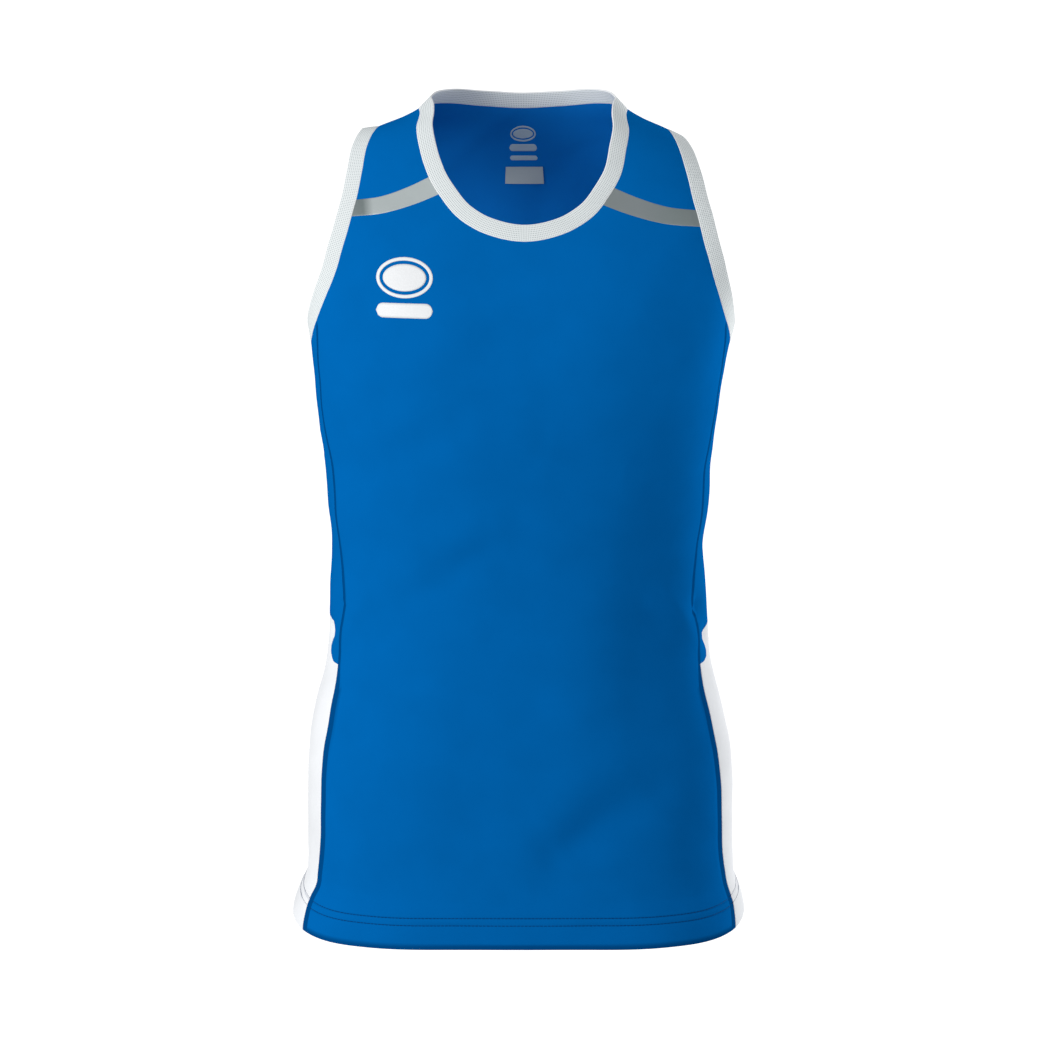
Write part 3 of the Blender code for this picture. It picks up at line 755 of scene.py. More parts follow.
# Cloth colours, the colours of their painted shade, and the paler blue painted on the inside as painted
# light.
BLUE, PAINTED_SHADE_BLUE, PAINTED_LIGHT_INSIDE_BLUE = (0.0003, 0.138, 0.465), (0.0003, 0.070, 0.250), (0.004, 0.174, 0.580)
WHITE, PAINTED_SHADE_WHITE = (0.94, 0.95, 0.97), (0.04, 0.09, 0.25)
blue_knit = knit_finish("blue_knit", BLUE, PAINTED_SHADE_BLUE, PAINTED_LIGHT_INSIDE_BLUE, (0.0, 0.35, 1.0), 0.60)
white_knit = knit_finish("white_knit", WHITE, PAINTED_SHADE_WHITE, WHITE, (1.0, 1.0, 1.0), 0.70)
print("finishes:", blue_knit.name, white_knit.name)

# %% [markdown]
# ## The front
#
# The front is one piece from the hem to the stripes and the neck. Its hem is turned up once, so the
# cloth is double there, and two rows of stitches draw it in by a hair. The net gets extra rows on the
# stitch lines, so that this groove is real; painted shade darkens it as well, as it does the band
# beside each side seam and a thin band along the hem's lower edge.

# %% The hem of a panel
HEM_DEPTH, HEM_STEP = 0.0290, 0.0016
HEM_LAYERS = 0.0019
# HEM_BAND: width of the painted shade along the hem's lower edge.
HEM_BAND, HEM_ROLL = 0.0040, 0.6
STITCH_ROWS = (0.0206, 0.0268)
DENT_DEPTH, DENT_REACH = 0.00030, 0.00055
DENT_NET = (-0.0012, -0.0006, -0.0003, 0, 0.0003, 0.0006, 0.0012)


def hem_rows(length):
    """Shares up a panel of a length: close together through the hem and its stitch lines."""
    hem = [0.0, 0.0003, 0.0007, 0.0012, 0.0020, 0.0035, 0.0060, 0.0090, 0.0120, 0.0150, 0.0180]
    hem += [row + step for row in STITCH_ROWS for step in DENT_NET]
    hem += [HEM_DEPTH, HEM_DEPTH + HEM_STEP, 0.0330]
    upper = spread(length - hem[-1]) * (length - hem[-1]) + hem[-1]
    return np.unique(np.concatenate([hem, upper[upper > hem[-1] + 0.0015]]).round(6)) / length


def hem_shape(grid):
    """A panel's thickness with its hem turned up, and how far the two rows of stitches draw it in."""
    up = ways(form(grid[..., 0], grid[..., 1]))[2]
    layers = CLOTH + (HEM_LAYERS - CLOTH) * np.clip((HEM_DEPTH + HEM_STEP - up) / HEM_STEP, 0, 1)
    dent = sum(DENT_DEPTH * np.exp(-(((up - row) / DENT_REACH) ** 2)) for row in STITCH_ROWS)
    return layers, dent


print("rows in a panel 0.3 m long:", len(hem_rows(0.3)))

# %% Front panel
FRONT_WIDE, FRONT_LONG = 0.47, 0.640


def hem_line(first_turn, last_turn):
    """Points along the lower edge between two turns."""
    turns = np.linspace(first_turn, last_turn, DENSE)
    return line(turns, hem_height(turns))


def corner_shares(*runs):
    """Where the corners between runs of a line are, as shares of its length."""
    whole = shares_of(joined(*runs))
    ends = np.cumsum([len(run) - 1 for run in runs[:-1]])
    return whole[ends]


def front_arm(side_name, first, last):
    """The armhole seam in front between two heights."""
    side = SIDES[side_name]
    return armhole_line(armhole_swing(first, True), armhole_swing(last, True), side)


def body_panel(name, grid, split):
    """The front or the back: a hem, two side seams with a sunk band darkened by painted shade, and a top.
    """
    deep, band = beside_seam(grid, split)
    sewn, bands = (deep, deep, HEM_ROLL, SHALLOW), (band, band, HEM_BAND, 0)
    return cut_panel(name, grid, blue_knit, sewn, bands, *hem_shape(grid))


low_right, low_left = stripe_line("right", 0), stripe_line("left", 0)
neck_front = neck_line(low_right[-1, 0], low_left[-1, 0])
front_top = (low_right, neck_front, low_left[::-1])
front_starts = [
    (side_seam(True, SIDES[name]), front_arm(name, SEAM_TOP, low[0, 1]))
    for name, low in (("right", low_right), ("left", low_left))
]
front_grid = net(
    hem_line(front_starts[0][0][0, 0], front_starts[1][0][0, 0]),
    joined(*front_top),
    joined(*front_starts[0]),
    joined(*front_starts[1]),
    spread(FRONT_WIDE, corner_shares(*front_top)),
    hem_rows(FRONT_LONG),
)
front_cloth = body_panel("front_cloth", front_grid, SPLIT_FRONT)

# %% [markdown]
# ## The back
#
# The back is cut like the front but goes right up to the shoulder seams, with no stripe. The photo
# doesn't show it, so it is finished plainly, with the same hem and the soft hollow that cloth makes
# between the shoulder blades and over the small of the back.

# %% Back panel
BACK_WIDE, BACK_LONG = 0.42, 0.720
whole_turn = (360, 0)
back_neck = neck_line(90, 270)
back_top = (shoulder_line(1), back_neck, shoulder_line(-1)[::-1] + whole_turn)
back_arm = [armhole_line(armhole_swing(SEAM_TOP, False), 180, side) for side in (1, -1)]
back_start = joined(side_seam(False, 1), back_arm[0])
back_end = joined(side_seam(False, -1), back_arm[1]) + whole_turn
back_grid = net(
    hem_line(back_start[0, 0], back_end[0, 0]),
    joined(*back_top),
    back_start,
    back_end,
    spread(BACK_WIDE, corner_shares(*back_top)),
    hem_rows(BACK_LONG),
)
back_cloth = body_panel("back_cloth", back_grid, SPLIT_BACK)

# %% [markdown]
# ## Yokes and side panels
#
# A small yoke closes each side of the chest from the stripe to the shoulder. Under each arm runs a side
# panel, blue down to the waist and white below. The line between the two slants down toward the front.

# %% Yokes
YOKE_WIDE, YOKE_LONG = 0.075, 0.085
yokes = {}
for name, side in SIDES.items():
    lower, upper = stripe_line(name, STRIPE_WIDTH), shoulder_line(side)
    arm = armhole_line(armhole_swing(lower[0, 1], True), 180, side)
    neck = neck_line(lower[-1, 0], side * 90.0)
    grid = net(lower, upper, arm, neck, spread(YOKE_WIDE), spread(YOKE_LONG))
    yokes[name] = cut_panel("yoke_cloth_" + name, grid[:, ::-side], blue_knit, (SHALLOW,) * 4)

# %% Side panels
UPPER_WIDE, UPPER_LONG = 0.11, 0.26
LOWER_WIDE, LOWER_LONG = 0.13, 0.265
side_uppers, side_lowers = {}, {}
for name, side in SIDES.items():
    ends = side_seam(True, side, SPLIT_FRONT)[0, 0], side_seam(False, side, SPLIT_BACK)[0, 0]
    shares = np.linspace(0, 1, DENSE)
    split = line(np.linspace(*ends, DENSE), smooth(SPLIT[name], "height", shares))
    swings = armhole_swing(SEAM_TOP, True), armhole_swing(SEAM_TOP, False) - 360
    grid = net(
        split,
        armhole_line(*swings, side),
        side_seam(True, side, SPLIT_FRONT),
        side_seam(False, side, SPLIT_BACK),
        spread(UPPER_WIDE),
        spread(UPPER_LONG),
    )
    grid = grid[:, ::side]
    side_uppers[name] = cut_panel("side_upper_cloth_" + name, grid, blue_knit, (SHALLOW,) * 4)
    seams = side_seam(True, side, high=SPLIT_FRONT), side_seam(False, side, high=SPLIT_BACK)
    edge = hem_line(seams[0][0, 0], seams[1][0, 0])
    grid = net(edge, split, *seams, spread(LOWER_WIDE), hem_rows(LOWER_LONG))[:, ::side]
    sewn = (SHALLOW, SHALLOW, HEM_ROLL, SHALLOW)
    layers, dent = hem_shape(grid)
    side_lowers[name] = cut_panel(
        "side_lower_cloth_" + name, grid, white_knit, sewn, thick=layers, dent=dent
    )

# %% [markdown]
# ## The silver stripes
#
# Each side of the chest has a narrow stripe of silver film on knit. It is smoother than the cloth and
# a little shiny. Its grey changes along it, from a deeper grey by the arm to a lighter one toward the
# neck on the wearer's right, and stays darker on the left: painted reflection and shade. Its
# edges lie flat, so it hardly rolls in at its long seams.

# %% Stripes
STRIPE_LONG, STRIPE_PITCH = 0.09, 0.002
STRIPE_ROLL = 0.15
STRIPE_REACH = 0.045
STRIPE_REFLECTION_GREYS = {
    # stops from the wearer's right to their left: share of the length, colour; the greys paint reflection
    # and shade
    "right": (
        (0.0, (0.17, 0.20, 0.20)),
        (0.20, (0.15, 0.18, 0.18)),
        (0.30, (0.40, 0.44, 0.44)),
        (1.0, (0.48, 0.53, 0.53)),
    ),
    "left": (
        (0.0, (0.24, 0.27, 0.27)),
        (0.35, (0.25, 0.28, 0.29)),
        (0.70, (0.22, 0.26, 0.26)),
        (1.0, (0.21, 0.24, 0.24)),
    ),
}


def stripe_finish(name, greys):
    """Silver film: a soft change of grey along the stripe that is painted reflection and shade, and a very
    fine grain.
    """
    looks = {"Roughness": 0.42, "Specular IOR Level": 0.35, "Metallic": 0.15}
    material, tree, shader = new_finish(name, looks)
    place = on_cloth(tree)
    across = across_and_up(tree, place)[0]
    ends = {"Value": across, "From Min": -STRIPE_REACH, "From Max": STRIPE_REACH}
    along = add_node(tree, "MapRange", ends).outputs[0]
    grain = add_node(tree, "TexNoise", {"Vector": place, "Scale": 1800}).outputs["Fac"]
    paint(tree, shader, colour_ramp(tree, along, *greys), grain, 0.15, 0.00008)
    return material


stripes = {}
for name, side in SIDES.items():
    lower, upper = stripe_line(name, 0), stripe_line(name, STRIPE_WIDTH)
    arm = front_arm(name, lower[0, 1], upper[0, 1])
    neck = neck_line(lower[-1, 0], upper[-1, 0])
    up = spread(STRIPE_WIDTH, pitch=STRIPE_PITCH)
    grid = net(lower, upper, arm, neck, spread(STRIPE_LONG), up)[:, ::-side]
    # Each side gets its own greys: painted reflection and shade.
    silver = stripe_finish("silver_film_" + name, STRIPE_REFLECTION_GREYS[name])
    sewn = (SHALLOW, SHALLOW, STRIPE_ROLL, STRIPE_ROLL)
    stripes[name] = cut_panel("stripe_cloth_" + name, grid, silver, sewn)

# %% [markdown]
# ## The tapes
#
# Neck and armholes are bound with a ribbed tape, folded over the raw edge of the cloth, so it overlaps
# that edge by a hair on both faces. It is thicker than the cloth and has rounded folds at both edges,
# which the finish paints lighter, as painted highlight, so they show as thin bright lines. Its fine
# ribs run along it, and are crossed by the rows of the knit, so it looks like a small square mesh.
# The ribs are in the mesh, and the rows are bump.
#
# A tape could be a curve with a bevel, but a curve twists on its own around a neck. Here each point of
# the seam gives the way out of the cloth and the way into the opening, and the section is laid there.

# %% A loop of tape
TAPE_WIDTH, TAPE_THICK = 0.0145, 0.0021
TAPE_OVERLAP = 0.0007
TAPE_ROUND, TAPE_EASE, TAPE_SWELL = 0.0009, 0.0002, 0.00022
TAPE_RIBS, RIB_HEIGHT = 7, 0.00010
TAPE_EDGE = 60


def tape_section():
    """The tape's section: place across it and height over its middle, all round, outer face first."""
    half = TAPE_THICK / 2
    first, last = TAPE_ROUND, TAPE_WIDTH - TAPE_ROUND
    across = np.linspace(first, last, 6 * TAPE_RIBS + 1)
    share = (across - across[0]) / (across[-1] - across[0])
    rib = RIB_HEIGHT * (np.cos(2 * np.pi * TAPE_RIBS * share) - 1) / 2
    swell = TAPE_SWELL * np.sin(np.pi * share) ** 0.5
    face = np.stack([across, half - TAPE_SWELL + swell + rib], -1)
    turned = np.radians((60, 30, 0, -30, -60))
    far = np.stack([last + TAPE_ROUND * np.cos(turned), (half - TAPE_EASE) * np.sin(turned)], -1)
    back = np.stack([np.linspace(last, first, 7), np.full(7, TAPE_EASE - half)], -1)
    near = far * (-1, -1) + (TAPE_WIDTH, 0)
    return np.concatenate([face, far, back, near])


def tape(name, seam_line, lean, material):
    """A closed loop of tape from a seam line on into its opening, leaning as told at each point."""
    turns, heights = seam_line.T
    seam, normal = form(turns, heights), form_normal(turns, heights)
    ahead = unit(np.roll(seam, -1, axis=0) - np.roll(seam, 1, axis=0))
    out = np.cross(normal, ahead) + lean
    out = unit(out - ahead * np.sum(out * ahead, axis=1, keepdims=True))
    face = np.cross(ahead, out)
    middle = seam - normal * CLOTH / 2 - out * TAPE_OVERLAP
    section = tape_section()
    points = middle[:, None] + out[:, None] * section[:, :1] + face[:, None] * section[:, 1:]
    rows, columns = points.shape[:2]
    i = np.arange(rows * columns).reshape(rows, columns)
    after, over = np.roll(i, -1, axis=0), np.roll(i, -1, axis=1)
    faces = np.stack([i, after, np.roll(after, -1, axis=1), over], -1).reshape(-1, 4)
    mesh = bpy.data.meshes.new(name)
    mesh.from_pydata(points.reshape(-1, 3), [], faces.tolist())
    length, way_round = (lengths_along(np.append(loop, loop[:1], axis=0)) for loop in (seam, section))
    u0, v0 = np.meshgrid(length[:-1], way_round[:-1], indexing="ij")
    u1, v1 = np.meshgrid(length[1:], way_round[1:], indexing="ij")
    corners = np.stack([u0, v0, u1, v0, u1, v1, u0, v1], -1)
    mesh.uv_layers.new(name="cloth").data.foreach_set("uv", corners.ravel())
    mark_points(mesh, "across", np.tile(section[:, 0] / TAPE_WIDTH, rows))
    mesh.materials.append(material)
    piece = into_scene(name, mesh)
    bpy.context.view_layer.objects.active = piece
    piece.select_set(True)
    bpy.ops.object.mode_set(mode="EDIT")
    bpy.ops.mesh.select_all(action="SELECT")
    bpy.ops.mesh.normals_make_consistent(inside=False)
    bpy.ops.object.mode_set(mode="OBJECT")
    round_off(piece, TAPE_EDGE)
    print("%s: %.3f m round, %d faces" % (name, length[-1], len(mesh.polygons)))
    return piece


print("points round the tape's section:", len(tape_section()))

# %% Tape finish
MESH_PITCHES = (0.00150, 0.00172)


def tape_finish():
    """White ribbed tape: pale grey between the ribs, with painted highlight at its folded edges."""
    looks = {"Roughness": 0.78, "Specular IOR Level": 0.2, "Sheen Weight": 0.08}
    material, tree, shader = new_finish("white_ribbed_tape", looks)
    waves = []
    for place, pitch in zip(across_and_up(tree, on_cloth(tree)), MESH_PITCHES):
        wave = sum_of(tree, "SINE", sum_of(tree, "MULTIPLY", place, 2 * math.pi / pitch))
        waves.append(sum_of(tree, "MULTIPLY", sum_of(tree, "ADD", wave, 1.0), 0.5))
    dots = sum_of(tree, "MULTIPLY", *waves)
    shown = colour_ramp(tree, dots, (0.25, (0.88, 0.92, 0.92)), (0.90, (0.34, 0.39, 0.40)))
    # Painted highlight: the tape's folded edges are painted near white.
    across = add_node(tree, "Attribute", attribute_name="across").outputs["Fac"]
    none, full = (0, 0, 0), (1, 1, 1)
    folds = colour_ramp(tree, across, (0.0, full), (0.10, none), (0.90, none), (1.0, full))
    mix = add_node(tree, "Mix", {0: folds, 6: shown, 7: (0.97, 0.98, 0.98, 1)}, data_type="RGBA")
    paint(tree, shader, mix.outputs[2], dots, 0.6, 0.00020, invert=True)
    return material


tape_white = tape_finish()
print("finish:", tape_white.name)

# %% Neck and armhole tapes


def evenly(seam_line, count):
    """A closed seam line as count points at even lengths of cloth, the last not repeating the first."""
    way = lengths_along(form(*seam_line.T))
    places = np.linspace(0, way[-1], count, endpoint=False)
    return np.stack([np.interp(places, way, seam_line[:, k]) for k in (0, 1)], -1)


NECK_LEAN = table(
    "turn lean",
    (0.0, 0.10),
    (60.0, 0.12),
    (85.0, 0.24),
    (110.0, 0.32),
    (140.0, 0.38),
    (180.0, 0.40),
)
ARMHOLE_LEAN = 0.45
ARMHOLE_LIFT = {"left": 0.0, "right": 0.35}
NECK_STEPS, ARMHOLE_STEPS, FINE_STEPS = 440, 400, 1441
neck_seam = evenly(neck_line(0, 360, FINE_STEPS), NECK_STEPS)
from_front = np.abs((neck_seam[:, 0] + 180) % 360 - 180)
lean = np.outer(smooth(NECK_LEAN, "lean", from_front), (0, 0, 1))
neck_tape = tape("neck_tape", neck_seam, lean, tape_white)
armhole_tapes = {}
for name, side in SIDES.items():
    seam_line = evenly(armhole_line(0, 360, side, FINE_STEPS), ARMHOLE_STEPS)[::-side]
    over = (seam_line[:, 1] - ARMHOLE_Z) / ARMHOLE_DOWN
    lean = np.outer(ARMHOLE_LEAN * (1 - over**2), (side, 0, 0))
    lean += np.outer(ARMHOLE_LIFT[name] * np.clip(over, 0, 1) ** 2, (0, 0, 1))
    armhole_tapes[name] = tape("armhole_tape_" + name, seam_line, lean, tape_white)

# %% [markdown]
# ## The stitched hem
#
# Two needles sew the hem at once, so two rows of short, even stitches run side by side all round. One
# stitch is a thin cylinder with drawn-in ends, modelled once. It is then laid end to end along each
# row, in the groove that the front, back and side panels already have. Dark blue thread shows as such
# on the white panels too.

# %% One stitch
STITCH_LONG, STITCH_STEP, THREAD = 0.0026, 0.0032, 0.00050
DRAWN_IN = 0.72
bpy.ops.mesh.primitive_cylinder_add(vertices=6, radius=THREAD / 2, depth=STITCH_LONG, location=(0, 0, 0))
one_stitch = bpy.context.active_object
bpy.ops.object.mode_set(mode="EDIT")
bpy.ops.mesh.select_all(action="DESELECT")
work = bmesh.from_edit_mesh(one_stitch.data)
for face in work.faces:
    face.select = abs(face.normal.z) > 0.9
bmesh.update_edit_mesh(one_stitch.data)
bpy.ops.mesh.inset(thickness=THREAD * 0.2)
bpy.ops.mesh.select_all(action="DESELECT")
work = bmesh.from_edit_mesh(one_stitch.data)
for vert in work.verts:
    if math.hypot(vert.co.x, vert.co.y) > THREAD * 0.45:
        vert.co.z *= DRAWN_IN
bmesh.update_edit_mesh(one_stitch.data)
bpy.ops.object.mode_set(mode="OBJECT")
stitch_points = np.array([vert.co for vert in one_stitch.data.vertices])
stitch_faces = [tuple(face.vertices) for face in one_stitch.data.polygons]
bpy.data.objects.remove(one_stitch)
print("one stitch:", len(stitch_faces), "faces")

# %% Stitches along a row
STITCH_LOOK = 0.0012


def sewn_row(points, lifts):
    """The points of stitches that lie end to end along a row, each turned to stand off the cloth."""
    way = lengths_along(points)
    places = np.arange(STITCH_STEP / 2, way[-1], STITCH_STEP)

    def read(values, at):
        return np.stack([np.interp(at, way, values[:, k]) for k in range(3)], -1)

    ahead = unit(read(points, places + STITCH_LOOK) - read(points, places - STITCH_LOOK))
    side = unit(np.cross(read(lifts, places), ahead))
    over = np.cross(ahead, side)
    shape = sum(axis[:, None] * stitch_points[:, k, None] for k, axis in enumerate((side, over, ahead)))
    return read(points, places)[:, None] + shape


def thread_piece(name, rows, material):
    """One object of all the stitches of several rows."""
    shapes = np.concatenate([sewn_row(points, lifts) for points, lifts in rows])
    count = len(stitch_points)
    faces = [tuple(k * count + i for i in face) for k in range(len(shapes)) for face in stitch_faces]
    mesh = bpy.data.meshes.new(name)
    mesh.from_pydata(shapes.reshape(-1, 3), [], faces)
    mesh.shade_smooth()
    mesh.materials.append(material)
    print(name, len(shapes), "stitches,", len(faces), "faces")
    return into_scene(name, mesh)


print("stitches in 10 cm: %.0f" % (0.1 / STITCH_STEP))

# %% Rows of stitches in the hem


def thread_finish(name, colour):
    """Polyester thread, with the twist of its strands as fine slanting bump."""
    material, tree, shader = new_finish(name, {"Roughness": 0.6, "Specular IOR Level": 0.05})
    noise, shades = mottled(tree, colour, 900, 0.8, 1.2)
    paint(tree, shader, shades, noise, 0.3, 0.00005)
    return material


SUNK = DENT_DEPTH - THREAD * 0.30


def hem_path(first_turn, last_turn, up_from_edge):
    """Points and ways out along the hem, at a distance up the cloth from its lower edge."""
    turns = np.linspace(first_turn, last_turn, int(abs(last_turn - first_turn) * 4))
    edge = hem_height(turns)
    heights = edge + up_from_edge
    for _ in range(3):
        length = np.linalg.norm(form(turns, heights) - form(turns, edge), axis=-1)
        heights = edge + (heights - edge) * up_from_edge / length
    normal = form_normal(turns, heights)
    return form(turns, heights) - normal * SUNK, normal


def hem_paths(first_turn, last_turn):
    """Both rows of stitches between two turns."""
    return [hem_path(first_turn, last_turn, row) for row in STITCH_ROWS]


blue_thread = thread_finish("blue_thread", (0.001, 0.030, 0.130))
grey_thread = thread_finish("grey_thread", (0.02, 0.04, 0.10))
seam_turns = [abs(float(run[0][0, 0])) for run in front_starts]
back_turns = float(back_start[0, 0]), float(back_end[0, 0])
INSET = 0.5
front_rows = hem_paths(INSET - seam_turns[0], seam_turns[1] - INSET)
back_rows = hem_paths(back_turns[0] + INSET, back_turns[1] - INSET)
hem_stitches = thread_piece("hem_stitches_body", front_rows + back_rows, blue_thread)
side_stitches = {}
for name, side in SIDES.items():
    rows = hem_paths(side * (seam_turns[1] + INSET), side * (back_turns[0] - INSET))
    side_stitches[name] = thread_piece("hem_stitches_" + name, rows, grey_thread)

# %% [markdown]
# ## Inside: seam allowances and label
#
# Where two panels meet, about seven millimetres of each are left over inside and overlocked together.
# They show through the neck, the armholes and the hem, and they close the seam against the light. A
# plain label is sewn inside the back of the neck.

# %% Seam allowances
ALLOWANCE_PLACES = np.array((-0.0010, 0.0, 0.0018, 0.0036, 0.0052, 0.0065))
ALLOWANCE_STEPS, ALLOWANCE_WALL = 90, 0.0010
ALLOWANCE_GAP, ALLOWANCE_SLANT = 0.00025, 0.0001
RIPPLE, RIPPLE_PACE = 0.00018, 1.9


def allowance(name, seam_line, lean):
    """A folded strip of cloth that lies inside along a seam, on one side of it."""
    keep = np.linspace(0, len(seam_line) - 1, ALLOWANCE_STEPS).astype(int)
    turns, heights = seam_line[keep].T
    seam, normal = form(turns, heights), form_normal(turns, heights)
    beside = np.cross(normal, unit(np.gradient(seam, axis=0))) * lean
    across = ALLOWANCE_PLACES[None]
    ripple = RIPPLE * np.abs(np.sin(np.arange(len(keep)) * RIPPLE_PACE))[:, None]
    deep = CLOTH + ALLOWANCE_GAP + (ALLOWANCE_SLANT + ripple) * across / across.max()
    outer = seam[:, None] + beside[:, None] * across[..., None] - normal[:, None] * deep[..., None]
    inner = outer - normal[:, None] * ALLOWANCE_WALL
    uv = np.stack(np.broadcast_arrays(across, np.linspace(0, 0.4, len(keep))[:, None]), -1)
    piece = wall(name, outer, inner, uv, {"seam_shade": np.zeros(deep.shape)})
    piece.data.materials.append(blue_knit)
    return piece


TRIM_LOW, TRIM = 12, 6
allowances = []
for name, side in SIDES.items():
    for where, at_front, lean in (("front", True, -1), ("back", False, 1)):
        seam_line = side_seam(at_front, side)[TRIM_LOW:-TRIM]
        allowances.append(allowance("seam_allowance_%s_%s" % (where, name), seam_line, lean))
    ridge = shoulder_line(side)[TRIM:-TRIM]
    allowances.append(allowance("seam_allowance_shoulder_" + name, ridge, side))
print("seam allowances:", len(allowances))

# %% Label
LABEL_WIDTH, LABEL_HEIGHT, LABEL_Z = 0.033, 0.0150, -0.0525
LABEL_WALL, LABEL_GAP, LABEL_SAG = 0.0004, 0.0007, 0.0006


def inside_back(across, up, deep):
    """Points inside the back: metres across from the middle, a height, and how deep in."""
    radius = abs(float(form(180.0, LABEL_Z)[1]))
    turns = 180 + np.degrees(np.asarray(across) / radius)
    return form(turns, up) - form_normal(turns, up) * deep


def label_finish():
    """A woven label: plain grey, with a fine weave."""
    material, tree, shader = new_finish("label_weave", {"Roughness": 0.6})
    greys = {"Color1": (0.52, 0.57, 0.56, 1), "Color2": (0.44, 0.49, 0.48, 1)}
    weave = add_node(tree, "TexChecker", {"Vector": on_cloth(tree), "Scale": 1400, **greys})
    paint(tree, shader, weave.outputs["Color"], weave.outputs["Fac"], 0.3, 0.00006)
    return material


columns, rows = np.meshgrid(np.linspace(-0.5, 0.5, 23), np.linspace(-0.5, 0.5, 11))
places = np.stack([columns * LABEL_WIDTH, rows * LABEL_HEIGHT], -1)
deep = (CLOTH + LABEL_GAP + LABEL_SAG * np.cos(np.pi * columns) * (0.5 - rows))[..., None]
outer, inner = (
    inside_back(places[..., 0], places[..., 1] + LABEL_Z, depth) for depth in (deep, deep + LABEL_WALL)
)
label_cloth = wall("label_cloth", outer, inner, places)
label_cloth.data.materials.append(label_finish())
print("label: %.1f cm2" % (half_area(label_cloth) * 1e4))

# %% [markdown]
# ## Plain prints
#
# The chest and the inside of the neck carry plain shapes only: an oval in an oval outline, over one
# bar or two. Each is modelled flat with simple tools and then laid on the cloth, a tenth of a
# millimetre proud, like the film of a transfer print.

# %% Flat shapes
RING_STEPS, OVAL_STEPS, NEARLY_HALF = 3, 6, 2.2
BLUNT = 0.004


def flat_oval(name, width, height, band=None):
    """A flat oval, modelled as a circle whose edge is drawn inwards: an outline of a band's width, or
    filled right to the middle."""
    bpy.ops.mesh.primitive_circle_add(vertices=72, radius=0.5, fill_type="NOTHING", location=(0, 0, 0))
    piece = bpy.context.active_object
    piece.name = name
    bpy.ops.object.mode_set(mode="EDIT")
    bpy.ops.mesh.select_all(action="SELECT")
    bpy.ops.transform.resize(value=(width, height, 1))
    steps = RING_STEPS if band else OVAL_STEPS
    step = (band or height / NEARLY_HALF) * 2 / steps
    for _ in range(steps):
        work = bmesh.from_edit_mesh(piece.data)
        chosen = [vert for vert in work.verts if vert.select]
        wide = max(vert.co.x for vert in chosen) * 2
        tall = max(vert.co.y for vert in chosen) * 2
        bpy.ops.mesh.extrude_edges_move()
        bpy.ops.transform.resize(value=((wide - step) / wide, (tall - step) / tall, 1))
    if not band:
        bpy.ops.mesh.merge(type="CENTER")
    bpy.ops.object.mode_set(mode="OBJECT")
    piece.select_set(False)
    return piece


def flat_bar(name, width, height):
    """A flat bar with rounded ends."""
    bpy.ops.mesh.primitive_grid_add(x_subdivisions=28, y_subdivisions=6, size=1, location=(0, 0, 0))
    piece = bpy.context.active_object
    piece.name = name
    bpy.ops.object.mode_set(mode="EDIT")
    bpy.ops.mesh.select_all(action="SELECT")
    bpy.ops.transform.resize(value=(width, height, 1))
    work = bmesh.from_edit_mesh(piece.data)
    end = height / 2
    for vert in work.verts:
        past = abs(vert.co.x) - (width / 2 - end)
        if past > 0:
            vert.co.y *= math.sqrt(max(1 - (past / end) ** 2, BLUNT))
    bmesh.update_edit_mesh(piece.data)
    bpy.ops.object.mode_set(mode="OBJECT")
    piece.select_set(False)
    return piece


print("an oval and a bar can be made")

# %% Film on the cloth
FILM = 0.00010


def lay_on(piece, place, height, material):
    """Lays a flat shape on the cloth: place turns its points, moved up to a height, into points there."""
    mesh = piece.data
    flat = np.array([vert.co for vert in mesh.vertices])
    mesh.vertices.foreach_set("co", place(flat[:, 0], flat[:, 1] + height).ravel())
    mesh.update()
    bpy.context.view_layer.objects.active = piece
    piece.select_set(True)
    bpy.ops.object.shade_smooth()
    mesh.materials.clear()
    mesh.materials.append(material)


def laid_print(name, place, material, *shapes):
    """Flat shapes laid at their heights and joined, as one film with a real thickness that faces
    the front."""
    for piece, height in shapes:
        lay_on(piece, place, height, material)
    bpy.context.view_layer.objects.active = shapes[0][0]
    bpy.ops.object.join()
    film = bpy.context.active_object
    film.name = name
    bpy.ops.object.mode_set(mode="EDIT")
    bpy.ops.mesh.select_all(action="SELECT")
    bpy.ops.mesh.remove_doubles(threshold=0.00001)
    bpy.ops.mesh.normals_make_consistent(inside=False)
    work = bmesh.from_edit_mesh(film.data)
    for face in work.faces:
        if face.normal.y > 0:
            face.normal_flip()
    bmesh.update_edit_mesh(film.data)
    bpy.ops.object.mode_set(mode="OBJECT")
    body = film.modifiers.new("film", "SOLIDIFY")
    body.thickness, body.offset = FILM, 1.0
    bpy.ops.object.modifier_apply(modifier="film")
    film.select_set(False)
    print(name, len(film.data.polygons), "faces")
    return film


def film_finish(name, colour, roughness):
    """Transfer film: nearly flat colour, with the knit under it showing as faint bump."""
    material, tree, shader = new_finish(name, {"Roughness": roughness})
    noise, shades = mottled(tree, colour, 700, 0.94, 1.04)
    paint(tree, shader, shades, noise, 0.2, 0.00006)
    return material


print("film: %.2f mm thick" % (FILM * 1000))

# %% Chest print
CHEST_X, CHEST_TOP, CHEST_BAR = -0.0948, -0.1280, -0.1545
CHEST_RADIUS, TURN_STEP = 0.16, 0.2
FILM_LIFT = 0.00006


def on_chest(across, up):
    """Points on the chest: metres across from the middle of the body, and a height."""
    wanted = np.asarray(across) + CHEST_X
    turns = np.degrees(np.arcsin(np.clip(wanted / CHEST_RADIUS, -0.95, 0.95)))
    for _ in range(12):
        got = form(turns, up)[..., 0]
        slope = (form(turns + TURN_STEP, up)[..., 0] - got) / TURN_STEP
        turns = turns + (wanted - got) / slope
    return form(turns, up) + form_normal(turns, up) * FILM_LIFT


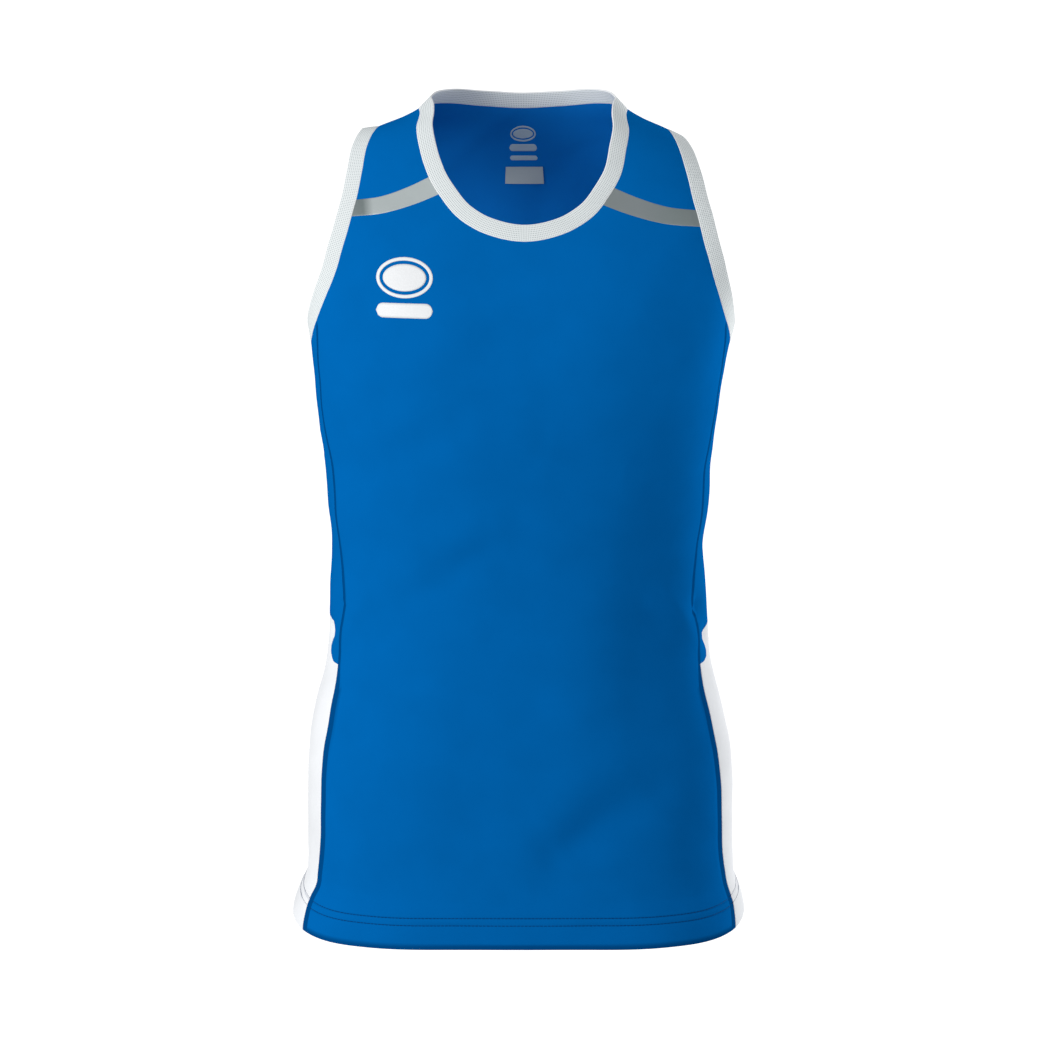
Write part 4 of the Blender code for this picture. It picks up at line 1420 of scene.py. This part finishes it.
chest_print = laid_print(
    "chest_print",
    on_chest,
    film_finish("white_film", (0.86, 0.87, 0.88), 0.5),
    (flat_oval("ring", 0.047, 0.0330, 0.0028), CHEST_TOP),
    (flat_oval("oval", 0.036, 0.0220), CHEST_TOP),
    (flat_bar("bar", 0.047, 0.0120), CHEST_BAR),
)

# %% Neck print
NECK_TOP, NECK_BAR, NECK_THIN_BAR = -0.0160, -0.0283, -0.0374


def in_neck(across, up):
    """Points on the inner face of the back, under the neck tape."""
    return inside_back(across, up, CLOTH + FILM_LIFT)


neck_print = laid_print(
    "neck_print",
    in_neck,
    film_finish("grey_film", (0.46, 0.56, 0.62), 0.6),
    (flat_oval("ring", 0.0265, 0.0140, 0.0016), NECK_TOP),
    (flat_oval("oval", 0.0205, 0.0085), NECK_TOP),
    (flat_bar("bar", 0.0265, 0.0062), NECK_BAR),
    (flat_bar("thin bar", 0.0255, 0.0042), NECK_THIN_BAR),
)

# %% [markdown]
# ## What each piece stands for
#
# Each piece of cloth now takes the place of its CAD node and rides on the one body. The table also
# lists its finish and what it was cut from, but nothing here reads those columns. The panels' flat
# sizes are measured along the cloth. The tapes are cut shorter and a little wider than they lie here,
# because they are stretched on.

# %% Pieces, nodes and sheets
TAPE_SLOT, ARMHOLE_CUT = "white_ribbed_tape", (0.0159, 0.470)
SHEETS = (
    # piece, node, slot, width and length of the cut, area of the cut, how it is held
    (front_cloth, "front", "blue_knit", (0.412, 0.648), 0.2243, "hung"),
    (back_cloth, "back", "blue_knit", (0.398, 0.765), 0.2433, "hung"),
    (yokes["left"], "front_yoke_left", "blue_knit", (0.075, 0.104), 0.0053, "hung"),
    (yokes["right"], "front_yoke_right", "blue_knit", (0.067, 0.096), 0.0046, "hung"),
    (side_uppers["left"], "side_upper_left", "blue_knit", (0.139, 0.299), 0.0227, "hung"),
    (side_uppers["right"], "side_upper_right", "blue_knit", (0.142, 0.297), 0.0231, "hung"),
    (side_lowers["left"], "side_lower_left", "white_knit", (0.139, 0.310), 0.0313, "hung"),
    (side_lowers["right"], "side_lower_right", "white_knit", (0.143, 0.310), 0.0327, "hung"),
    (stripes["left"], "stripe_left", "silver_stripe", (0.088, 0.0153), None, "hung"),
    (stripes["right"], "stripe_right", "silver_stripe", (0.079, 0.0154), None, "hung"),
    (neck_tape, "neck_binding", TAPE_SLOT, (0.0159, 0.550), None, "stretched"),
    (armhole_tapes["left"], "armhole_binding_left", TAPE_SLOT, ARMHOLE_CUT, None, "stretched"),
    (armhole_tapes["right"], "armhole_binding_right", TAPE_SLOT, ARMHOLE_CUT, None, "stretched"),
    (label_cloth, "neck_label", "label_grey", (0.033, 0.0150), None, "hung"),
)
for piece, node, slot, flat, area, held in SHEETS:
    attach(piece, "root")
    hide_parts(node)
    print("%-22s %.5f m2" % (piece.name, half_area(piece)))
for strip in allowances:
    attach(strip, "root")
for extra in (hem_stitches, *side_stitches.values(), chest_print, neck_print):
    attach(extra, "root")

# %% [markdown]
# ## The studio
#
# The singlet hangs in a round studio with a pale floor that sweeps up into a pale wall. Floor and wall
# glow softly, but don't light the cloth, so that its shading comes from the lights alone. A large
# soft light stands in front on the left of the picture, and a narrower one on the right, a little
# behind, draws a pale edge on that side. Between the two, the cloth falls into shade, and a small
# light with a narrow beam lifts the shade a little on the right of the chest.

# %% Studio sweep
FLOOR_Z, WALL_RADIUS, WALL_TOP = -1.55, 6.0, 3.2
SWEEP = (
    # radius, height over the floor
    (1.2, 0.0),
    (2.2, 0.0),
    (4.6, 0.0),
    (5.3, 0.10),
    (5.8, 0.45),
    (WALL_RADIUS, 1.1),
    (WALL_RADIUS, WALL_TOP),
)
bpy.ops.object.select_all(action="DESELECT")
bpy.ops.mesh.primitive_circle_add(vertices=96, radius=0.4, fill_type="TRIFAN", location=(0, 0, FLOOR_Z))
studio = bpy.context.active_object
studio.name = "studio_floor"
bpy.ops.object.transform_apply(location=True, rotation=True, scale=True)
bpy.ops.object.mode_set(mode="EDIT")
for radius, rise in SWEEP:
    bpy.ops.mesh.select_all(action="DESELECT")
    work = bmesh.from_edit_mesh(studio.data)
    for edge in work.edges:
        if edge.is_boundary:
            edge.select_set(True)
    bmesh.update_edit_mesh(studio.data)
    bpy.ops.mesh.extrude_edges_move()
    work = bmesh.from_edit_mesh(studio.data)
    for vert in work.verts:
        if vert.select:
            out = radius / math.hypot(vert.co.x, vert.co.y)
            vert.co.x, vert.co.y, vert.co.z = vert.co.x * out, vert.co.y * out, FLOOR_Z + rise
    bmesh.update_edit_mesh(studio.data)
bpy.ops.object.mode_set(mode="OBJECT")
bpy.ops.object.shade_smooth()
studio.select_set(False)
studio.visible_diffuse = False
print("studio:", len(studio.data.polygons), "faces")

# %% Studio paint
paint_look = {"Base Color": (0.35, 0.35, 0.35, 1), "Roughness": 1.0, "Specular IOR Level": 0.0}
glow_look = {"Emission Color": (1, 1, 1, 1)}
material, tree, shader = new_finish("studio_paint", {**paint_look, **glow_look})
place = add_node(tree, "TexCoord").outputs["Object"]
far = add_node(tree, "VectorMath", {0: place}, operation="LENGTH").outputs["Value"]
near_end, far_end = {"From Min": 1.65, "To Min": 0.85}, {"From Max": 2.4, "To Max": 1.0}
steps = {"Value": far, **near_end, **far_end}
glow = add_node(tree, "MapRange", steps, interpolation_type="SMOOTHSTEP").outputs[0]
tree.links.new(glow, shader.inputs["Emission Strength"])
studio.data.materials.append(material)
print("paint:", material.name)

# %% Lights
LIGHTS = (
    # name, place, what it looks at, width and height, power in watts
    ("key", (-2.55, -2.0, 0.45), (0, 0, -0.35), (1.4, 1.8), 66),
    ("fill", (1.9, -2.0, 0.1), (0.14, -0.08, -0.14), (0.25, 0.25), 0.036),
    ("edge", (2.65, 1.41, -0.35), (0.1, 0, -0.35), (0.6, 1.8), 53),
)
BEAM = {"fill": 8}  # degrees; the other two shine as widely as they can
for name, place, aim, size, power in LIGHTS:
    lamp = bpy.data.lights.new(name, "AREA")
    lamp.shape = "RECTANGLE"
    lamp.size, lamp.size_y = size
    lamp.energy = power
    lamp.spread = math.radians(BEAM.get(name, 180))
    stand = into_scene(name, lamp)
    stand.location = place
    way = np.array(aim) - np.array(place)
    yaw = math.atan2(way[1], way[0]) - math.pi / 2
    pitch = math.atan2(way[2], math.hypot(way[0], way[1])) + math.pi / 2
    stand.rotation_euler = (pitch, 0, yaw)
    stand.visible_camera = False


world = bpy.data.worlds.new("studio_air")
bpy.context.scene.world = world
world.use_nodes = True
air = world.node_tree.nodes["Background"]
air.inputs["Color"].default_value = (0.95, 0.975, 1.0, 1)
air.inputs["Strength"].default_value = 0.452
print("lights:", [light[0] for light in LIGHTS])

# %% Camera
CAMERA_FAR, CAMERA_UP = 2.66, math.radians(9.0)
AIM = np.array((0.0039, 0.0, -0.348))
METRES_PER_PIXEL, PICTURE_WIDTH = 0.00086, 1050
camera = into_scene("camera", bpy.data.cameras.new("camera"))
camera.location = AIM + CAMERA_FAR * np.array((0, -math.cos(CAMERA_UP), math.sin(CAMERA_UP)))
camera.rotation_euler = (math.pi / 2 - CAMERA_UP, 0, 0)
lens = camera.data
lens.sensor_width = 36
lens.lens = lens.sensor_width * CAMERA_FAR / (METRES_PER_PIXEL * PICTURE_WIDTH)
bpy.context.scene.camera = camera
bpy.context.scene.view_settings.view_transform = "Standard"
print("camera:", tuple(round(v, 4) for v in camera.location), "lens %.2f mm" % lens.lens)
